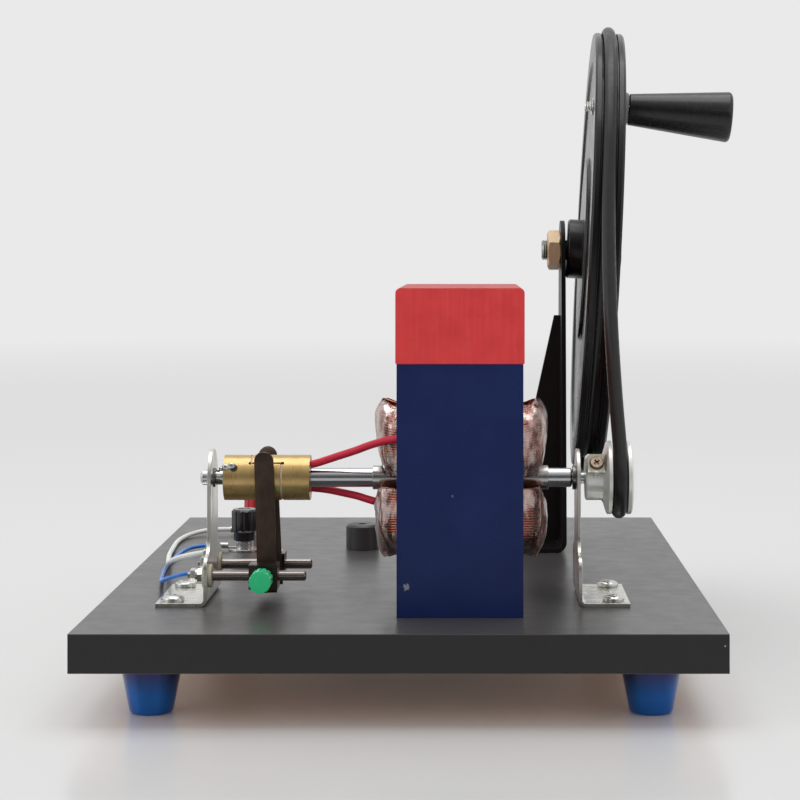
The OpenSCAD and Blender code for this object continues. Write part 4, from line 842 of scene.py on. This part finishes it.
def addSolder():
    axis = centre("rotor_shaft")
    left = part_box("commutator_left_sleeve")[0].x
    run = [((3.3, -8.05, 5.5), (1.9, 0.9, 1.5)), ((0.9, -8.05, 4.9), (1.6, 0.9, 1.5)),
           ((-0.9, -6.9, 4.3), (1.0, 0.9, 0.9)), ((-2.3, -5.2, 3.5), (0.9, 0.9, 0.8))]
    lumps("commutator_solder", [(Vector((left, axis.y, axis.z)) + Vector(where) * mm, radii) for where, radii in run],
          "solder", "rotor", "tinned_tag", 2.0)
    lumps("tag_solder", [(spot(-85.8, -68.5, 16.2), (1.3, 1.7, 1.7)), (spot(-86.0, -92, 11.5), (1.2, 1.5, 1.5))],
          "solder", "frame", "tinned_tag", 5.0)
    print("solder added")


addSolder()


strip = {"width": 8.0, "thick": 0.8, "bend": 2.2, "flare": 6.0, "lean": {"front": 1.6, "rear": 2.6}}


def addBrushGear():
    for side, face in (("front", -1), ("rear", 1)):
        eased(side + "_brush_block", "blockBrown", 0.3, 2)
        node = side + "_brush_strip"
        low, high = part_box(node)
        blade = bmesh.new()
        rows = 28
        inner = high.y if side == "front" else low.y
        top = high.z - strip["width"] / 2 * mm
        outline = [(low.x, low.z), (high.x, low.z)]
        for i in range(17):
            a = pi * i / 16
            outline.append((centre(node).x + strip["width"] / 2 * mm * cos(a), top + strip["width"] / 2 * mm * sin(a)))
        verts = [blade.verts.new((x, inner, z)) for x, z in outline]
        blade.faces.new(verts)
        for row in range(1, rows):
            z = low.z + (high.z - low.z) * row / rows
            bmesh.ops.bisect_plane(blade, geom=blade.verts[:] + blade.edges[:] + blade.faces[:], dist=1e-7,
                                   plane_co=(0, 0, z), plane_no=(0, 0, 1))
        start = high.z - strip["flare"] * mm
        for v in blade.verts:
            over = max(v.co.z - start, 0) / (strip["flare"] * mm)
            v.co.y += face * over ** 2 * strip["bend"] * mm
        bmesh.ops.rotate(blade, cent=centre(node), verts=blade.verts,
                         matrix=Matrix.Rotation(-radians(strip["lean"][side]), 3, "Y"))
        bmesh.ops.recalc_face_normals(blade, faces=blade.faces)
        piece = place(node + "_bent", blade, "darkBronze", bodyOf(node), slots[node], [node], 50)
        wall = piece.modifiers.new("sheet", "SOLIDIFY")
        wall.thickness = strip["thick"] * mm
        facing = bladeFacing(piece)
        wall.offset = 1 if facing * face > 0 else -1
        rim = piece.modifiers.new("rim", "BEVEL")
        rim.width = 0.12 * mm
        rim.segments = 2
        rim.limit_method = "ANGLE"
        eased(side + "_thumb_screw", "greenKnob" if side == "front" else "whiteKnob", 0.35, 2, 30)
    print("brush gear finished")


def bladeFacing(piece):
    return sum(p.normal.y * p.area for p in piece.data.polygons)


addBrushGear()


handleBolt = {"length": 65.2, "shank": 2.5, "head": 4.25}


def handleBoltCentre(low, high):  # middle of the leaning bolt, from its box and its joint
    anchor, axis = Vector(joints["grip_spin"]["pos_m"]), Vector(joints["grip_spin"]["axis"])
    middle = (low.x + high.x) / 2
    return anchor + axis * ((middle - anchor.x) / axis.x)


def addNuts():
    low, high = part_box("rod_nuts")
    rodY = [centre("front_brush_rod").y, centre("rear_brush_rod").y]
    rodZ = centre("front_brush_rod").z
    nuts = []
    for y in rodY:
        for x, turn in ((low.x, 0.2), (high.x - 2.2 * mm, 0.75)):
            nuts.append(moved(hexNut(5.5, 2.2, 1.5, 0.12), Vector((x, y, rodZ)), Matrix.Rotation(turn, 4, "X")))
    place("rod_nuts_threaded", joined(nuts), "brightZinc", "frame", slots["rod_nuts"], ["rod_nuts"], 25)

    low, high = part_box("axle_nut")
    axle = centre("axle_nut")
    place("axle_nut_threaded", moved(hexNut(17, 6.2, 5.0, 0.35), Vector((low.x, axle.y, axle.z)), Matrix.Rotation(radians(38), 4, "X")), "yellowZinc",
          "frame", slots["axle_nut"], ["axle_nut"], 25)
    low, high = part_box("axle_bolt")
    end = (high.x - low.x) / mm
    head = 6.4  # the drawn head is lower than the solid's
    profile = threadProfile(0, 13.5, 4.95, 1.0, 0.45, 0.9)[:-1]
    profile += [(13.5, 5.0), (end - head + 0.4, 5.0), (end - head + 0.4, 0)]
    shank = turned(profile, 48)
    cap = moved(hexNut(17, 2.6, 0.01, 0), Vector((end - head, 0, 0)) * mm)
    place("axle_bolt_threaded", moved(joined([shank, cap]), Vector((low.x, axle.y, axle.z))), "dullZinc",
          "frame", slots["axle_bolt"], ["axle_bolt"], 25)
    eased("axle_washer", "yellowZinc", 0.15, 2)

    lean = leaned("grip_spin")
    nut = moved(hexNut(8, 4.0, 2.5, 0.2), Vector((-2.0, 0, 0)) * mm)
    place("handle_nut_threaded", moved(nut, centre("handle_nut"), lean), "brightZinc",
          "wheel", slots["handle_nut"], ["handle_nut"], 25)
    low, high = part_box("handle_bolt")
    end = handleBolt["length"]
    profile = threadProfile(0, 14, 2.45, 0.8, 0.3, 0.5)[:-1]
    profile += [(14, 2.5), (end - 2.5, 2.5), (end - 2.5, 4.1), (end - 2.3, 4.25), (end - 0.9, 4.25), (end, 3.2), (end, 0)]
    bolt = turned(profile, 40)
    slot = bmesh.new()
    bmesh.ops.create_cube(slot, size=1)
    bmesh.ops.scale(slot, vec=Vector((2.2, 1.0, 12)) * mm, verts=slot.verts)
    bmesh.ops.translate(slot, vec=Vector((end, 0, 0)) * mm, verts=slot.verts)
    bolt = cutAway(bolt, slot)
    moved(bolt, Vector((-end / 2, 0, 0)) * mm)
    place("handle_bolt_threaded", moved(bolt, handleBoltCentre(low, high), lean), "brightZinc",
          "wheel", slots["handle_bolt"], ["handle_bolt"], 25)

    low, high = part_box("terminal_nuts")
    studs = centre("terminal_studs")
    nuts = []
    for y in (centre("black_post_cap").y, centre("red_post_cap").y):
        nuts.append(moved(hexNut(10, 4.0, 3.0, 0.25), Vector((studs.x, y, low.z)), upright))
    place("terminal_nuts_threaded", joined(nuts), "brightZinc", "frame", slots["terminal_nuts"], ["terminal_nuts"], 25)
    print("nuts and threads finished")


addNuts()


def addPosts():
    for colour, finish in (("black", "capBlack"), ("red", "capRed")):
        eased(colour + "_post_cap", finish, 0.25, 2, 30)


addPosts()


belt = {"wheel": 106.0, "pulley": 14.0, "radius": 3.0, "lean": 2.9, "toe": 1.4, "ease": 0.1}


def addWheel():
    eased("drive_wheel", "wheelBlack", 0.4, 3, 30)
    eased("handle_collar", "collarGrey", 0.3, 2)
    eased("crank_grip", "gripBlack", 0.5, 3)
    wheel = Vector(joints["wheel_turn"]["pos_m"])
    rotor = centre("rotor_shaft")
    dy, dz = (rotor.y - wheel.y) / mm, (rotor.z - wheel.z) / mm
    heading, opening = atan2(dz, dy), acos((belt["wheel"] - belt["pulley"]) / hypot(dy, dz))
    lean, toe = radians(belt["lean"]), radians(belt["toe"])

    def onRim(a):
        y, z = belt["wheel"] * cos(a), belt["wheel"] * sin(a)
        return wheel + Vector((cos(toe) * sin(lean) * z + sin(toe) * y,
                               cos(toe) * y - sin(toe) * sin(lean) * z, cos(lean) * z)) * mm

    def onPulley(a):
        return Vector((wheel.x, rotor.y + belt["pulley"] * cos(a) * mm, rotor.z + belt["pulley"] * sin(a) * mm))

    def easedIn(u):
        soft = belt["ease"]
        if u < soft:
            return u * u / 2 / soft / (1 - soft)
        if u > 1 - soft:
            return (1 - soft - (1 - u) ** 2 / 2 / soft) / (1 - soft)
        return (u - soft / 2) / (1 - soft)

    def crossing(a, u):
        point = onRim(a).lerp(onPulley(a), u)
        planeX = wheel.x + tan(lean) * (point.z - wheel.z) + tan(toe) / cos(lean) * (point.y - wheel.y)
        point.x = planeX + (wheel.x - planeX) * easedIn(u)
        return point

    path = [onRim(heading + opening + (2 * pi - 2 * opening) * i / 150) for i in range(151)]
    path += [crossing(heading - opening, i / 24) for i in range(1, 24)]
    path += [onPulley(heading - opening + 2 * opening * i / 40) for i in range(41)]
    path += [crossing(heading + opening, 1 - i / 24) for i in range(1, 24)]
    wire("drive_belt_round", path, belt["radius"], "beltRubber", "frame", ["drive_belt"],
         closed=True, sides=8)
    print("wheel, belt and handle finished")


addWheel()


studio = {"paper": 0.82, "dark": 0.12, "darkFrom": (-0.95, -0.5), "floorColour": 0.72, "fadeFrom": 0.35, "fadeTo": 3.2, "world": 0.62, "top": 11.0,
          "left": 3.2, "front": 1.6}


def addStudio():
    world = bpy.data.worlds.new("studio")
    world.use_nodes = True
    scene.world = world
    nodes, links = world.node_tree.nodes, world.node_tree.links
    back = nodes["Background"]
    back.inputs["Color"].default_value = (1, 1, 1, 1)
    back.inputs["Strength"].default_value = studio["world"]
    seen = nodes.new("ShaderNodeBackground")
    seen.inputs["Color"].default_value = (studio["paper"], studio["paper"], studio["paper"], 1)
    room = nodes.new("ShaderNodeBackground")  # what gloss shows: the dark room lies in front
    room.inputs["Color"].default_value = (studio["paper"], studio["paper"], studio["paper"], 1)
    where = nodes.new("ShaderNodeTexCoord")
    parts = nodes.new("ShaderNodeSeparateXYZ")
    dark = nodes.new("ShaderNodeMapRange")
    dark.inputs["From Min"].default_value, dark.inputs["From Max"].default_value = studio["darkFrom"]
    dark.inputs["To Min"].default_value = studio["dark"]
    links.new(where.outputs["Generated"], parts.inputs["Vector"])
    links.new(parts.outputs["Y"], dark.inputs["Value"])
    links.new(dark.outputs["Result"], room.inputs["Strength"])
    ray = nodes.new("ShaderNodeLightPath")
    shine = nodes.new("ShaderNodeMixShader")
    links.new(ray.outputs["Is Glossy Ray"], shine.inputs["Fac"])
    links.new(back.outputs["Background"], shine.inputs[1])
    links.new(room.outputs["Background"], shine.inputs[2])
    either = nodes.new("ShaderNodeMath")
    either.operation = "MAXIMUM"
    links.new(ray.outputs["Is Camera Ray"], either.inputs[0])
    links.new(ray.outputs["Is Transmission Ray"], either.inputs[1])
    mix = nodes.new("ShaderNodeMixShader")
    links.new(either.outputs["Value"], mix.inputs["Fac"])
    links.new(shine.outputs["Shader"], mix.inputs[1])
    links.new(seen.outputs["Background"], mix.inputs[2])
    links.new(mix.outputs["Shader"], nodes["World Output"].inputs["Surface"])

    table = bmesh.new()
    bmesh.ops.create_grid(table, x_segments=1, y_segments=1, size=12)
    mesh = bpy.data.meshes.new("table")
    table.to_mesh(mesh)
    table.free()
    floor = bpy.data.objects.new("table", mesh)
    scene.collection.objects.link(floor)
    finish = newFinish("paleTable", (studio["floorColour"],) * 3, 0.0, 0.24)
    nodes, links = finish.node_tree.nodes, finish.node_tree.links
    where = nodes.new("ShaderNodeTexCoord")
    away = nodes.new("ShaderNodeVectorMath")
    away.operation = "LENGTH"
    links.new(where.outputs["Object"], away.inputs[0])
    fade = ranged(finish, away.outputs["Value"], 0, 1, studio["fadeFrom"], studio["fadeTo"])
    glow = nodes.new("ShaderNodeEmission")
    glow.inputs["Color"].default_value = (studio["paper"], studio["paper"], studio["paper"], 1)
    path = nodes.new("ShaderNodeLightPath")
    both = nodes.new("ShaderNodeMath")
    both.operation = "MULTIPLY"
    mix = nodes.new("ShaderNodeMixShader")
    links.new(fade, both.inputs[0])
    links.new(path.outputs["Is Camera Ray"], both.inputs[1])
    links.new(both.outputs["Value"], mix.inputs["Fac"])
    links.new(nodes["Principled BSDF"].outputs["BSDF"], mix.inputs[1])
    links.new(glow.outputs["Emission"], mix.inputs[2])
    links.new(mix.outputs["Shader"], nodes["Material Output"].inputs["Surface"])
    mesh.materials.append(finish)

    def softBox(name, where, aim, width, height, power):
        data = bpy.data.lights.new(name, "AREA")
        data.shape = "RECTANGLE"
        data.size, data.size_y = width, height
        data.energy = power
        lamp = bpy.data.objects.new(name, data)
        lamp.location = where
        lamp.rotation_euler = (Vector(aim) - Vector(where)).to_track_quat("-Z", "Y").to_euler()
        scene.collection.objects.link(lamp)
    softBox("topBox", (0.0, 0.1, 1.5), (0, 0, 0.1), 1.4, 1.2, studio["top"])
    softBox("leftBox", (-1.5, -0.5, 0.8), (0, 0, 0.12), 0.9, 1.0, studio["left"])
    softBox("frontBox", (0.8, -1.5, 1.0), (0, 0, 0.12), 0.8, 0.8, studio["front"])
    print("studio lit")


addStudio()
